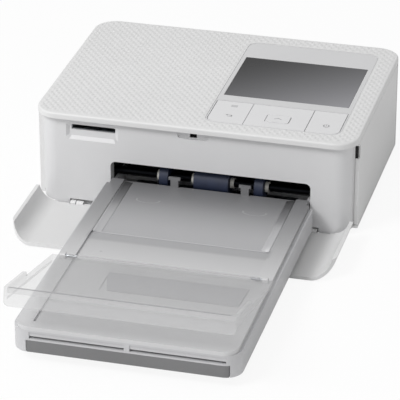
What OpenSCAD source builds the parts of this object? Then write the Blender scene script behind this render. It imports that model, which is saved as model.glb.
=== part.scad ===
// Compact photo printer with its paper cassette in the front opening.
// Millimetres. +Z is up and the front faces -Y. The origin is on the table, under the middle of the
// whole object. Most pieces are drawn from the body's front face (y = 0 there) and moved by at_body().

/* [Body] */
// Width of the body
body_w = 182.2; // [178:0.2:190]
// Depth of the body
body_d = 133; // [132:0.5:145]
// Height of the top of the body over the table
body_h = 57.6; // [57.6:0.1:62]
// Corner radius of the body in plan
corner_r = 13; // [10:0.5:14]
// Wall thickness of the casings
wall = 2.2; // [1.8:0.1:2.4]
// Height of the rubber feet
foot_h = 2.3; // [2.3:0.1:3]
// Radius of a rubber foot
foot_r = 6; // [4:0.5:8]
// Height of the smooth band round the top cover
band_h = 3.4; // [3:0.1:4]
// Radius of the top cover's edge
edge_r = 1.2; // [0.6:0.1:2]
// How far the front panel lies behind the band
face_inset = 2.8; // [2.8:0.1:3.4]
// Where the side walls start behind the front
side_front = 11.5; // [11.5:0.5:13]
// Gap between casing pieces
seam = 0.3; // [0.2:0.05:0.5]

/* [Cassette mouth] */
// Middle of the mouth from the right side of the body
mouth_x = 81.6; // [80:0.2:84]
// Width of the mouth
mouth_w = 113.5; // [113:0.5:115]
// Top of the mouth over the table
mouth_top = 30.3; // [30:0.1:31]
// Corner radius at the top of the mouth
mouth_r = 3; // [1:0.5:6]
// Depth of the collar behind the mouth
collar_d = 4.4; // [3:0.1:4.6]
// Bottom edge of the panel over the hinge zone
sill_z = 4.3; // [4.2:0.1:5]

/* [Card slot and latch] */
// Middle of the card slot from the left side of the body
card_x = 34; // [31:0.5:36]
// Width of the card slot
card_w = 25.2; // [24.6:0.2:27]
// Height of the card slot
card_h = 3; // [2.8:0.1:3.4]
// Width of the recess round the card slot
card_recess_w = 30; // [28:0.2:31]
// Height of the recess round the card slot
card_recess_h = 10.7; // [9:0.1:10.8]
// Depth of the recesses in the front panel
recess_d = 1.3; // [0.6:0.1:1.4]
// Width of the sloped walls of the card recess
recess_slope = 2; // [0.5:0.1:2.4]
// Middle of the latch recess from the middle of the body
latch_x = 0; // [-3:0.5:3]
// Width of the latch recess
latch_w = 17.6; // [14:0.2:20]
// Height of the latch recess
latch_h = 4; // [3.6:0.1:4.2]
// Width of the hole that takes the latch hook
latch_hole = 4; // [3.6:0.1:5]

/* [Control panel] */
// Distance of the control panel from the right side of the body
panel_x = 11.1; // [10:0.1:13]
// Front edge of the control panel behind the front
panel_y = 10.7; // [9:0.1:12]
// Width of the control panel
panel_w = 76.2; // [76:0.2:78]
// Depth of the control panel
panel_d = 110.8; // [108:0.2:112]
// Corner radius of the control panel
panel_r = 6; // [4:0.5:9]
// Thickness of the control panel and its keys
panel_t = 1.6; // [1.2:0.1:1.8]
// Width of the display window
screen_w = 71.1; // [68:0.1:72]
// Depth of the display window
screen_d = 53.3; // [50:0.1:54]
// Front edge of the display window behind the front
screen_y = 47; // [45:0.1:48]
// Depth of the strip of keys
keys_d = 28; // [24:0.5:30]
// Width of the rim round the keys
key_rim = 0.8; // [0.6:0.1:1.2]
// Width of the menu and back rocker
rocker_w = 21; // [18:0.5:22]
// Width of the power key
power_w = 19; // [16:0.5:20]
// Width of the OK key
ok_w = 13; // [10:0.5:15]
// Depth of the OK key
ok_d = 9; // [7:0.5:11]
// Gap between keys
key_gap = 0.35; // [0.3:0.05:0.5]
// How far a key goes down
key_travel = 0.4; // [0.3:0.05:0.5]

/* [Front door] */
// Thickness of the front door
door_t = 2; // [1.8:0.1:2]
// Height and depth of the door's hinge line
door_axis = 2; // [2:0.1:2.2]
// Reach of the door from its hinge line
door_reach = 51.9; // [50:0.1:52]
// Radius of the door's hinge knuckles
knuckle_r = 1.7; // [1.5:0.1:1.8]
// Radius of the door's hinge pins
door_pin_r = 0.8; // [0.6:0.05:0.9]
// Middle of each hinge ear from the middle of the body
ear_x = 69; // [68.5:0.5:70]
// Width of a hinge ear
ear_w = 3; // [2.5:0.1:4]
// Corner radius of the door's free edge
door_r = 13; // [10:0.5:15]

/* [Side door] */
// Radius of the side door's hinge pins
side_pin_r = 0.6; // [0.5:0.05:0.65]
// Height of the finger notch
notch_h = 7.6; // [6:0.2:12]
// Depth of the finger notch
notch_d = 2.4; // [1.5:0.1:4]

/* [Cassette] */
// Length of the cassette in front of the body
cas_out = 167.5; // [160:0.5:172]
// Length of the cassette inside the body
cas_in = 25; // [24:0.5:25]
// Width of the tray outside the body
tray_w = 118.6; // [117.6:0.2:120]
// Width of the tray inside the body
insert_w = 111.8; // [111:0.2:112.2]
// Bottom of the tray over the table
tray_z = 5.4; // [5.3:0.1:5.8]
// Top of the tray's walls over the table
tray_top = 17.9; // [17.4:0.1:18]
// Wall of the tray
tray_wall = 2; // [1.6:0.1:2.4]
// Height of the groove under the tray
groove_h = 3.6; // [3.4:0.1:4]
// Width of the groove under the tray
groove_w = 72; // [60:1:80]
// Width of the dark front bar
bar_w = 105; // [90:1:106]
// How far the bar sits to the right of the cassette's middle
bar_side = 1.5; // [0:0.1:2]
// Height of the dark front bar
bar_h = 6.8; // [5:0.1:7]
// Width of the deck
deck_w = 115; // [114.6:0.2:115.4]
// Top of the deck's rails over the table
deck_z = 20; // [19.8:0.1:20.2]
// Width of each rail beside the lid where it enters the body
rail_w = 6.8; // [6:0.2:8]
// How deep the lid lies between the rails
lid_sink = 1.1; // [0.6:0.1:1.3]
// Thickness of the lid and of the deck's middle
lid_t = 1.2; // [1:0.1:1.4]
// Hinge line of the lid in front of the body
lid_y = 61; // [58:0.5:64]
// Radius of the lid's pivots
lid_pin_r = 0.45; // [0.4:0.05:0.5]
// Distance of each T-shaped tab from the cassette's middle
tab_x = 20; // [17:0.5:21]
// Width of a tab's crossbar
tab_w = 6.7; // [5:0.1:7]
// Height of a tab over the lid
tab_h = 6; // [4:0.1:6]
// Slope of the output flap at rest, in degrees
flap_tilt = 13.2; // [10:0.1:15]
// Hinge line of the flap in front of the body
flap_y = 93; // [88:1:96]
// Height of the flap's hinge line over the table
flap_z = 21.4; // [21.3:0.1:22.2]
// Length of the flap
flap_l = 84; // [82:0.5:90]
// Width of the flap
flap_w = 119; // [118.6:0.2:121]
// Thickness of the flap
flap_t = 1.8; // [1.4:0.1:1.8]
// Height of the flap's front wall
flap_wall_h = 10; // [8:0.2:11]
// Thickness of the flap's walls
flap_wall_t = 1.4; // [1.2:0.1:1.5]
// Length of the flap's corner stubs
stub_l = 35; // [25:1:45]
// Radius of the flap's hinge pins
flap_pin_r = 0.7; // [0.5:0.05:0.7]

/* [Paper drive] */
// Distance of the pickup shaft behind the front
pickup_y = 12; // [12:0.1:12.4]
// Height of the pickup shaft over the table
pickup_z = 21; // [21:0.1:21.3]
// Radius of the pickup rollers
pickup_r = 7.5; // [7:0.1:7.6]
// Radius of the pickup shaft
pickup_shaft_r = 2; // [1.5:0.1:2]
// Width of the wide pickup roller
wide_roller_w = 19.6; // [16:0.2:22]
// Width of a narrow pickup roller
narrow_roller_w = 5; // [4:0.2:6]
// Distance of the narrow rollers from the middle
narrow_roller_x = 27; // [26.5:0.5:30]
// Distance of the platen behind the front
platen_y = 80; // [79.5:0.1:80.5]
// Height of the platen shaft over the table
platen_z = 24; // [23.8:0.1:24]
// Radius of the platen roller
platen_r = 6; // [5.5:0.1:6]
// Radius of the platen and feed shafts
shaft_r = 2.5; // [2:0.1:2.6]
// Length of the platen and feed rollers
roller_l = 99; // [96:1:100]
// Height of the feed roller over the table
feed_z = 27.4; // [27.2:0.1:27.4]
// Radius of the pinch roller
pinch_r = 3; // [2.5:0.1:3]
// Radial running clearance of shafts
run = 0.05; // [0.03:0.01:0.08]
// Gear module
gear_m = 0.8; // [0.8:0.01:0.8]
// Width of the gears
gear_w = 5; // [3:0.5:5]
// Radius of the motor
motor_r = 7.6; // [6.5:0.1:7.6]
// Length of the motor
motor_l = 20; // [16:0.5:22]

/* [Ink cartridge] */
// Distance of the supply spool behind the front
supply_y = 58; // [57.6:0.1:58]
// Distance of the take-up spool behind the front
takeup_y = 102; // [101.8:0.1:102.2]
// Height of the spools over the table
spool_z = 39; // [39:0.1:39.3]
// Radius of the cartridge's troughs
trough_r = 10; // [9.6:0.1:10]
// Wall of the cartridge
cart_wall = 1.4; // [1.2:0.1:1.6]
// Length of the cartridge
cart_l = 126; // [122:0.5:126.5]
// Radius of the ribbon rolls
roll_r = 7.5; // [6:0.1:7.6]
// Width of the ribbon
ribbon_w = 98; // [94:1:100]
// Thickness that stands for the ribbon
ribbon_t = 0.3; // [0.2:0.05:0.3]
// Radius of the spools' hubs
hub_r = 3; // [2.5:0.1:3.2]

/* [Hidden] */
$fn = 48;

shell_color = [0.90, 0.90, 0.90];
panel_color = [0.84, 0.84, 0.85];
clear_color = [0.78, 0.78, 0.79];
steel_color = [0.70, 0.71, 0.73];
gear_color = [0.93, 0.92, 0.88];
black_color = [0.09, 0.09, 0.10];
rubber_color = [0.12, 0.14, 0.24];
board_color = [0.10, 0.32, 0.20];

fit = 0.02;
eps = 0.01;
flap_low = flap_wall_h * 0.55;
reach = flap_y + flap_l * cos(flap_tilt) + flap_low * sin(flap_tilt);
front_y = (reach - body_d) / 2;
half_w = body_w / 2;
mid_x = half_w - mouth_x;
slot_x = card_x - half_w;
bezel_x = half_w - panel_x - panel_w;

// Casing levels
band_z = body_h - band_h;
lip_top = foot_h + 1.5;
floor_top = foot_h + wall;
floor_front = door_axis + knuckle_r + 0.7;
panel_top = body_h - 0.1;
bezel_z = panel_top - panel_t;
post_r = 3.2;
post_front = 18;
post_back = body_d - 12;
boss_top = floor_top + 3.5;
foot_x = half_w - 23;
screw_r = 1.5;
screw_head_r = 2.8;
screw_head_h = 1.6;
screw_l = 12;
face_back = face_inset + wall;
latch_z = band_z - 3;
card_z = band_z - 5.7;

// Side door
side_axis_y = body_d - corner_r - 1.6;
side_axis_x = half_w - wall / 2;
side_frame_x = half_w - wall - 0.4;
post_left = half_w - wall - post_r - 1.4;
post_right = side_frame_x - wall - post_r - 1.3;
post_spots = [for (x = [-post_left, post_right], y = [post_front, post_back]) [x, y]];
bay_y = [supply_y - trough_r - 2.5, takeup_y + trough_r + 2.5];
bay_z = [spool_z - trough_r - 0.7, spool_z + trough_r + 0.6];

// Frames and drive, in the left frame's outer plane
frame_t = 1.2;
left_x = mid_x - mouth_w / 2 - 6.75;
right_x = mid_x + mouth_w / 2 + 5.55;
board_z = 45.2;
board_t = 1.6;
frame_z = bay_z[1] + 1.4;
bridge_t = 1.2;
gear_x = left_x - 3 - gear_w;
teeth_main = 20;
teeth_pickup = 14;
teeth_transfer = 28;
teeth_spool = 22;
teeth_idler = 36;
teeth_pinion = 10;
function pitch_r(teeth) = gear_m * teeth / 2;
function apart(a, b) = pitch_r(a) + pitch_r(b);
function heading(p, q) = atan2(q[1] - p[1], q[0] - p[0]);
// The point at distance a from p and b from q, on the left of the way from p to q
function meet(p, q, a, b) =
    let (d = norm(q - p), u = (q - p) / d, s = (a * a - b * b + d * d) / (2 * d), h = sqrt(a * a - s * s))
    p + s * u + h * [-u[1], u[0]];
pickup_at = [pickup_y, pickup_z];
platen_at = [platen_y, platen_z];
supply_at = [supply_y, spool_z];
takeup_at = [takeup_y, spool_z];
feed_rise = spool_z - feed_z;
feed_at = [takeup_y + sqrt(pow(apart(teeth_main, teeth_spool), 2) - pow(feed_rise, 2)), feed_z];
pinch_at = feed_at + [0, shaft_r + pinch_r + 0.3];
frame_y = [pickup_y - 6, feed_at[0] + shaft_r + 2.05];
plate_y0 = pickup_y + 22;
transfer_at = meet(feed_at, platen_at, apart(teeth_main, teeth_transfer),
    apart(teeth_main, teeth_transfer));
idler_turn = 160;
idler_b_at = platen_at + apart(teeth_main, teeth_idler) * [cos(idler_turn), sin(idler_turn)];
idler_c_at = meet(pickup_at, idler_b_at, apart(teeth_pickup, teeth_idler), apart(teeth_idler, teeth_idler));
pinion_turn = -90;
motor_at = idler_b_at + apart(teeth_idler, teeth_pinion) * [cos(pinion_turn), sin(pinion_turn)];

// Turn that puts a gap of gear 2 on a tooth of gear 1, seen along the line of centres
function meshed(turn, teeth1, teeth2, way) =
    way + 180 - (turn - way) * teeth1 / teeth2 - 180 / teeth2;
platen_turn = 0;
transfer_turn = meshed(platen_turn, teeth_main, teeth_transfer, heading(platen_at, transfer_at));
feed_turn = meshed(transfer_turn, teeth_transfer, teeth_main, heading(transfer_at, feed_at));
takeup_turn = meshed(feed_turn, teeth_main, teeth_spool, heading(feed_at, takeup_at));
idler_b_turn = meshed(platen_turn, teeth_main, teeth_idler, heading(platen_at, idler_b_at));
idler_c_turn = meshed(idler_b_turn, teeth_idler, teeth_idler, heading(idler_b_at, idler_c_at));
pickup_turn = meshed(idler_c_turn, teeth_idler, teeth_pickup, heading(idler_c_at, pickup_at));
bush_r = shaft_r + 0.9;
motor_turn = meshed(idler_b_turn, teeth_idler, teeth_pinion, heading(idler_b_at, motor_at));

lever_at = [bay_y[0] - 6, 36];

// Cassette
tray_floor = tray_z + groove_h + 1.6;
deck_low = deck_z - lid_sink;
lid_at = [2.6 - lid_y, tray_top + lid_pin_r + 0.4];
bar_depth = 3;
slot_z = tray_z + bar_h + 1;
slot_h = 1.3;
bar_mid = mid_x + bar_side;
inner_w = insert_w - 2 * rail_w;
cart_x = mid_x - roller_l / 2 - 4;
film_z = platen_z + platen_r + 0.8;

// helpers

module at_body() translate([0, front_y, 0]) children();

// Rectangle with round corners about its centre
module rounded(w, d, r) {
    square([w - 2 * r, d], center = true);
    square([w, d - 2 * r], center = true);
    for (sx = [-1, 1], sy = [-1, 1])
        translate([sx * (w / 2 - r), sy * (d / 2 - r)]) circle(r);
}

// The body's outline in plan, moved inwards
module plan(inset) translate([0, body_d / 2])
    rounded(body_w - 2 * inset, body_d - 2 * inset, corner_r - inset);

module slab(z0, z1) translate([0, 0, z0]) linear_extrude(z1 - z0) children();

module block(x0, x1, y0, y1, z0, z1) translate([x0, y0, z0]) cube([x1 - x0, y1 - y0, z1 - z0]);

// Round bar along X at a place in the side view
module bar_x(x0, x1, at, r) translate([x0, at[0], at[1]]) rotate([0, 90, 0]) cylinder(h = x1 - x0, r = r);

// A side-view outline drawn as (y, z), extruded along X
module along_x(x0, x1) translate([x0, 0, 0]) rotate([90, 0, 90]) linear_extrude(x1 - x0) children();

// A front-view outline drawn as (x, z), extruded along Y
module along_y(y0, y1) translate([0, y1, 0]) rotate([90, 0, 0]) linear_extrude(y1 - y0) children();

module pill(w, h) {
    square([w - h, h], center = true);
    for (s = [-1, 1]) translate([s * (w - h) / 2, 0]) circle(h / 2);
}

module front_zone(y0, y1) translate([-body_w, y0]) square([2 * body_w, y1 - y0]);

module at_posts() for (p = post_spots) translate([p[0], p[1], 0]) children();

// casing

module bottom_case() color(shell_color) at_body() difference() {
    union() {
        slab(foot_h, lip_top) intersection() {
            plan(0);
            front_zone(side_front, body_d);
        }
        slab(foot_h, floor_top) intersection() {
            plan(face_back + seam);
            front_zone(floor_front, body_d);
        }
        at_posts() slab(floor_top - eps, boss_top) circle(post_r + 1);
        for (s = [-1, 1]) {
            bar_x(s * ear_x - ear_w / 2, s * ear_x + ear_w / 2, [door_axis, door_axis], knuckle_r);
            block(s * ear_x - ear_w / 2, s * ear_x + ear_w / 2, door_axis, floor_front + 6,
                door_axis - knuckle_r, foot_h + 1);
        }
    }
    at_posts() {
        slab(foot_h - 1, boss_top + 1) circle(screw_r + 0.1);
        slab(foot_h - 1, foot_h + screw_head_h + 0.1) circle(screw_head_r + 0.1);
    }
    for (s = [-1, 1])
        bar_x(s * ear_x - ear_w, s * ear_x + ear_w, [door_axis, door_axis], door_pin_r + fit);
    translate([side_axis_x, side_axis_y, foot_h - 1]) cylinder(h = wall + 2, r = side_pin_r + fit);
}

module rubber_feet() color(black_color) at_body()
    for (sx = [-1, 1], y = [24, body_d - 16]) translate([sx * foot_x, y, 0]) {
        cylinder(h = foot_h - 0.8, r = foot_r);
        translate([0, 0, foot_h - 0.8]) cylinder(h = 0.8, r = foot_r - 0.8);
    }

module case_screws() color(steel_color) at_body() at_posts() {
    difference() {
        slab(foot_h, foot_h + screw_head_h) circle(screw_head_r);
        for (a = [0, 90]) rotate(a)
            translate([-1.6, -0.3, foot_h - 1]) cube([3.2, 0.6, 1.8]);
    }
    slab(foot_h + screw_head_h - eps, foot_h + screw_l) circle(screw_r);
}

vent_x = mid_x - roller_l / 2 - 6.5;
module vent_slots() for (i = [0:floor((half_w - corner_r + vent_x) / 4)])
    translate([vent_x - i * 4, body_d - wall / 2, 37])
    rotate([90, 0, 0]) linear_extrude(wall + 2, center = true) rotate(90) pill(11, 1.8);

module casing() color(shell_color) at_body() difference() {
    union() {
        slab(lip_top, band_z) difference() {
            plan(0);
            plan(wall);
            front_zone(-1, side_front);
            translate([0, -1]) square([body_w, side_axis_y + wall / 2 + seam + 1]);
        }
        slab(lip_top, band_z) {
            translate([side_frame_x - wall, side_front])
                square([wall, body_d - corner_r + 1 - side_front]);
            translate([side_frame_x - wall, side_axis_y + wall / 2 + seam])
                square([wall + 1, 2]);
        }
    }
    block(side_frame_x - wall - 1, half_w + 1, bay_y[0] - 12, bay_y[1], bay_z[0], bay_z[1]);
    vent_slots();
    block(mid_x - roller_l / 2 - 3, mid_x + roller_l / 2 + 3, body_d - wall - 1, body_d + 1,
        film_z - 4, film_z + 2.4);
    block(dc_x - 5.1, dc_x + 5.1, body_d - wall - 1, body_d + 1, floor_top - eps, floor_top + 11.1);
}

module panel_outline(grow) translate([bezel_x + panel_w / 2, panel_y + panel_d / 2])
    rounded(panel_w + 2 * grow, panel_d + 2 * grow, panel_r + grow);

// Quarter-round profile of the cover's edge, for one corner
module edge_puck() rotate_extrude($fn = 48) {
    square([corner_r - edge_r, band_h]);
    square([corner_r, band_h - edge_r]);
    intersection() {
        translate([corner_r - edge_r, band_h - edge_r]) circle(edge_r, $fn = 24);
        square([corner_r, band_h]);
    }
}

module top_cover() color(shell_color) at_body() {
    difference() {
        hull() for (x = [corner_r - half_w, half_w - corner_r], y = [corner_r, body_d - corner_r])
            translate([x, y, band_z]) edge_puck();
        slab(band_z - 1, body_h - wall) difference() {
            plan(face_back);
            panel_outline(3);
            at_posts() circle(post_r + 0.8);
        }
        slab(bezel_z, body_h + 1) panel_outline(seam / 2);
        slab(band_z - 1, body_h + 1) panel_outline(-2);
        slab(bezel_z - key_travel - 0.3, body_h) key_zone(0);
        translate([side_axis_x, side_axis_y, band_z - 1]) cylinder(h = 2.6, r = side_pin_r + fit);
    }
    difference() {
        at_posts() slab(boss_top, band_z) circle(post_r);
        at_posts() slab(boss_top - 1, foot_h + screw_l + 0.5) circle(screw_r + fit);
    }
}

module front_panel() color(panel_color) at_body() difference() {
    union() {
        slab(foot_h, band_z) difference() {
            plan(face_inset);
            plan(face_back);
            front_zone(side_front - seam, body_d + 1);
        }
        // Lap behind the left side wall
        slab(lip_top + 0.1, band_z) intersection() {
            difference() {
                plan(face_inset);
                plan(face_back);
            }
            translate([-half_w, side_front - seam - eps]) square([half_w, seam + 2]);
        }
        along_y(face_back - 0.5, face_back + collar_d) translate([mid_x, 0]) {
            for (s = [-1, 1]) translate([s * (mouth_w / 2 + 0.8) - 0.8, floor_top + 0.1])
                square([1.6, mouth_top - floor_top + 1.5]);
            translate([-mouth_w / 2, mouth_top]) square([mouth_w, 1.6]);
        }
    }
    along_y(-1, face_back + collar_d + 1) mouth_outline();
    block(-ear_x - ear_w / 2 - 0.8, ear_x + ear_w / 2 + 0.8, -1, face_back + 0.4, 0, sill_z);
    card_recess();
    block(slot_x - card_w / 2, slot_x + card_w / 2, -1, face_back + 1,
        card_z - card_h / 2, card_z + card_h / 2);
    along_y(0, face_inset + recess_d) translate([latch_x, latch_z]) pill(latch_w, latch_h);
    block(latch_x - latch_hole / 2, latch_x + latch_hole / 2, 0, face_back + 1,
        latch_z - 1.4, latch_z + 1.4);
}

// The mouth runs down past the panel's lower edge
module mouth_outline() translate([mid_x, 0]) {
    translate([-mouth_w / 2, -1]) square([mouth_w, mouth_top + 1 - mouth_r]);
    translate([mouth_r - mouth_w / 2, 0]) square([mouth_w - 2 * mouth_r, mouth_top]);
    for (s = [-1, 1]) translate([s * (mouth_w / 2 - mouth_r), mouth_top - mouth_r]) circle(mouth_r);
}

// Shallow recess with sloped walls
module card_recess() hull() translate([slot_x - 0.5, 0, card_z - 1.85]) {
    along_y(face_inset - 1, face_inset) rounded(card_recess_w, card_recess_h, 1.5);
    along_y(face_inset - 1, face_inset + recess_d)
        rounded(card_recess_w - 2 * recess_slope, card_recess_h - 2 * recess_slope, 1);
}

// control panel

module key_zone(inset) intersection() {
    panel_outline(-key_rim - inset);
    translate([bezel_x, panel_y]) square([panel_w, key_rim + keys_d - inset]);
}

rocker_x1 = bezel_x + key_rim + rocker_w;
power_x0 = bezel_x + panel_w - key_rim - power_w;
key_low = bezel_z - 1;
board_top = key_low - key_travel - 0.3;
ok_at = [(rocker_x1 + power_x0) / 2, panel_y + key_rim + keys_d * 0.42];
rocker_axis_y = panel_y + key_rim + keys_d / 2;
rocker_plungers = [for (s = [-1, 1]) [bezel_x + key_rim + rocker_w / 2, rocker_axis_y + s * 8]];
pad_plungers = [for (s = [-1, 1]) [ok_at[0] + s * (ok_w / 2 + 5), ok_at[1]]];
power_plungers = [[power_x0 + power_w / 2, ok_at[1]]];

// A key cap between two x places, with a plunger under it
module key_cap(x0, x1, plungers) {
    slab(bezel_z, panel_top) intersection() {
        key_zone(key_gap);
        translate([x0, panel_y]) square([x1 - x0, panel_d]);
    }
    for (p = plungers) translate([p[0], p[1], key_low]) cylinder(h = bezel_z - key_low + eps, r = 1.5);
}

module screen_outline(grow) translate([bezel_x + panel_w / 2 - screen_w / 2 - grow, screen_y - grow])
    square([screen_w + 2 * grow, screen_d + 2 * grow]);

module panel_bezel() color(panel_color) at_body() {
    difference() {
        slab(bezel_z, panel_top) panel_outline(0);
        slab(bezel_z - 1, body_h) key_zone(0);
        slab(bezel_z - 1, body_h) screen_outline(0.1);
    }
    for (x = [bezel_x + 6, bezel_x + panel_w - 6])
        slab(board_top, bezel_z + eps) translate([x, panel_y + key_rim + keys_d + 2]) circle(1.2);
}

module lcd_window() color("dimgray") at_body() slab(panel_top - 1.2, panel_top) screen_outline(0);

module lcd_module() color(black_color) at_body() {
    slab(bezel_z - 3, bezel_z) difference() {
        translate([bezel_x + panel_w / 2 - screen_w / 2 - 0.5, screen_y - 2])
            square([screen_w + 1, screen_d + 4]);
    }
    slab(bezel_z - eps, panel_top - 1.2) screen_outline(-0.4);
}

module menu_rocker() color(panel_color) at_body()
    key_cap(bezel_x, rocker_x1 - key_gap / 2, rocker_plungers);

module four_way_pad() color(panel_color) at_body() difference() {
    key_cap(rocker_x1 + key_gap / 2, power_x0 - key_gap / 2, pad_plungers);
    slab(bezel_z - 1, body_h) translate(ok_at) rounded(ok_w + 2 * key_gap, ok_d + 2 * key_gap, 1.6);
}

module ok_key() color(panel_color) at_body() translate([ok_at[0], ok_at[1], 0]) {
    slab(bezel_z, panel_top + 0.1) rounded(ok_w, ok_d, 1.3);
    slab(key_low, bezel_z + eps) circle(1.5);
}

module power_key() color(panel_color) at_body()
    key_cap(power_x0 + key_gap / 2, bezel_x + panel_w, power_plungers);

module key_board() color(board_color) at_body() {
    slab(board_top - 1.2, board_top) translate([bezel_x + 3.2, panel_y + 3.2])
        square([panel_w - 6.4, keys_d + 1.5]);
    for (p = concat(rocker_plungers, pad_plungers, power_plungers, [ok_at]))
        slab(board_top - eps, board_top + 0.2) translate(p) circle(2);
}

// doors

// Turns what is drawn as the closed front door down on to the table
module door_down() translate([0, door_axis, door_axis]) rotate([90, 0, 0])
    translate([0, -door_axis, -door_axis]) children();

door_top = door_axis + door_reach;
door_gap = door_axis - knuckle_r;

module front_door() color(shell_color) at_body() door_down() difference() {
    union() {
        intersection() {
            slab(door_axis, door_top) difference() {
                plan(door_gap);
                plan(door_gap + door_t);
                front_zone(side_front - 0.5, body_d + 1);
            }
            along_y(-1, side_front) {
                translate([0, door_top / 2])
                    rounded(body_w - 2 * door_gap, door_top, door_r);
                translate([-half_w, 0]) square([body_w, door_top / 2]);
            }
        }
        for (s = [-1, 1])
            bar_x(s * (ear_x - ear_w - 1) - 2, s * (ear_x - ear_w - 1) + 2, [door_axis, door_axis], knuckle_r);
        along_x(latch_x - 1.4, latch_x + 1.4) polygon([[door_gap + 1, latch_z - 0.9],
            [face_back + 1.2, latch_z - 0.9], [face_back + 1.2, latch_z],
            [face_back + 0.2, latch_z + 0.9], [face_back + 0.2, latch_z], [door_gap + 1, latch_z]]);
    }
    for (s = [-1, 1]) {
        block(s * ear_x - ear_w / 2 - 0.3, s * ear_x + ear_w / 2 + 0.3, -1, 5, 0, door_axis + knuckle_r + 0.4);
        bar_x(s * ear_x - 9, s * ear_x + 9, [door_axis, door_axis], door_pin_r + run);
    }
}

module front_door_pins() color(steel_color) at_body() for (s = [-1, 1])
    bar_x(s * (ear_x - 2) - 4, s * (ear_x - 2) + 4 - 0.5, [door_axis, door_axis], door_pin_r);

module door_catch() color(black_color) at_body() difference() {
    block(latch_x - 5, latch_x + 5, face_back, face_back + 3.4, latch_z - 2.6, band_z);
    block(latch_x - latch_hole / 2, latch_x + latch_hole / 2, face_back - 1, face_back + 2.2,
        latch_z - 1.4, latch_z + 1.4);
}

side_low = lip_top + seam;
side_high = band_z - seam;

module side_door() color(shell_color) at_body() difference() {
    union() {
        block(half_w - wall, half_w, side_front + seam, side_axis_y, side_low, side_high);
        translate([side_axis_x, side_axis_y, side_low]) cylinder(h = side_high - side_low, r = wall / 2);
    }
    block(half_w - wall - 1, half_w + 1, side_front, side_front + seam + notch_d,
        latch_z - 6.6, latch_z - 6.6 + notch_h);
    for (z = [side_low - 1, side_high - 1.5])
        translate([side_axis_x, side_axis_y, z]) cylinder(h = 2.5, r = side_pin_r + run);
    block(half_w - wall - 1, half_w - wall + 0.7, side_front + 6, side_axis_y - 6, side_low + 6, side_high - 6);
}

module side_door_pins() color(steel_color) at_body() translate([side_axis_x, side_axis_y, 0]) {
    slab(foot_h + 0.2, side_low + 1.3) circle(side_pin_r);
    slab(side_high - 1.3, band_z + 1.5) circle(side_pin_r);
}

// electronics

stand_x = (gear_x - half_w + wall) / 2;
board_right = mid_x - 32;
module main_board() color(board_color) at_body() {
    difference() {
        block(stand_x - 4, board_right, face_back + 0.8, bay_y[0] - 2, board_z, board_z + board_t);
        at_posts() slab(board_z - 1, board_z + board_t + 1) circle(post_r + 0.5);
    }
    for (y = [face_back + 5, bay_y[0] - 6]) slab(floor_top, board_z)
        translate([stand_x, y]) circle(2.4);
    block(board_right - 18.6, board_right - 6.6, 16, 28, board_z + board_t - eps, board_z + board_t + 1.6);
    block(left_x + 22, left_x + 27, 30, 40, board_z + board_t - eps, board_z + board_t + 4);
}

module card_socket() color(steel_color) at_body() difference() {
    block(slot_x - card_w / 2 - 0.6, slot_x + card_w / 2 + 0.6, face_back + 0.3, face_back + 27,
        board_z + board_t, board_z + board_t + card_h + 0.8);
    block(slot_x - card_w / 2 + 0.4, slot_x + card_w / 2 - 0.4, face_back - 1, face_back + 24,
        card_z - card_h / 2 + 0.3, card_z + card_h / 2 - 0.3);
}

dc_x = left_x - 2.5;
module dc_inlet() color(black_color) at_body() difference() {
    block(dc_x - 5, dc_x + 5, body_d - 14, body_d - 0.3, floor_top, floor_top + 11);
    translate([dc_x, body_d, floor_top + 5.5]) rotate([90, 0, 0]) cylinder(h = 10, r = 3);
}

// frames

module chassis_plate() color(steel_color) at_body() difference() {
    block(left_x + frame_t, right_x, plate_y0, frame_y[1], floor_top, floor_top + 1);
    for (i = [0:2]) translate([mid_x, plate_y0 + 16 + i * 25, floor_top - 1]) linear_extrude(3) pill(70, 12);
}

module frame_holes() {
    bar_x(-half_w, half_w, pickup_at, pickup_shaft_r + run);
    bar_x(-half_w, half_w, feed_at, shaft_r + run);
    bar_x(-half_w, half_w, pinch_at, 1.2 + run);
    bar_x(-half_w, half_w, platen_at, bush_r + fit);
}

// Side plate with a lower front part that carries the main board
module left_frame() color(steel_color) at_body() difference() {
    along_x(left_x, left_x + frame_t) polygon([
        [frame_y[0], floor_top], [frame_y[1], floor_top], [frame_y[1], frame_z],
        [bay_y[0], frame_z], [bay_y[0], board_z], [frame_y[0], board_z]]);
    frame_holes();
    bar_x(left_x - 1, left_x + 5, takeup_at, hub_r + run);
    bar_x(left_x - 1, left_x + 5, supply_at, hub_r + 2);
    for (p = [idler_b_at, idler_c_at, transfer_at]) bar_x(left_x - 1, left_x + 5, p, 2);
    bar_x(left_x - 1, left_x + 5, motor_at, 1.8);
}

// Side plate with the window that the ink cartridge slides through
module right_frame() color(steel_color) at_body() {
    difference() {
        along_x(right_x, right_x + frame_t) difference() {
            translate([frame_y[0], floor_top]) square([frame_y[1] - frame_y[0], frame_z - floor_top]);
            translate([bay_y[0], bay_z[0]]) square([bay_y[1] - bay_y[0], bay_z[1] - bay_z[0]]);
            translate([frame_y[0] - 1, board_z]) square([bay_y[0] - frame_y[0] - 6, 20]);
        }
        frame_holes();
    }
    bar_x(right_x + frame_t - eps, right_x + frame_t + 2.6, lever_at, 1.5);
}

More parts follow.
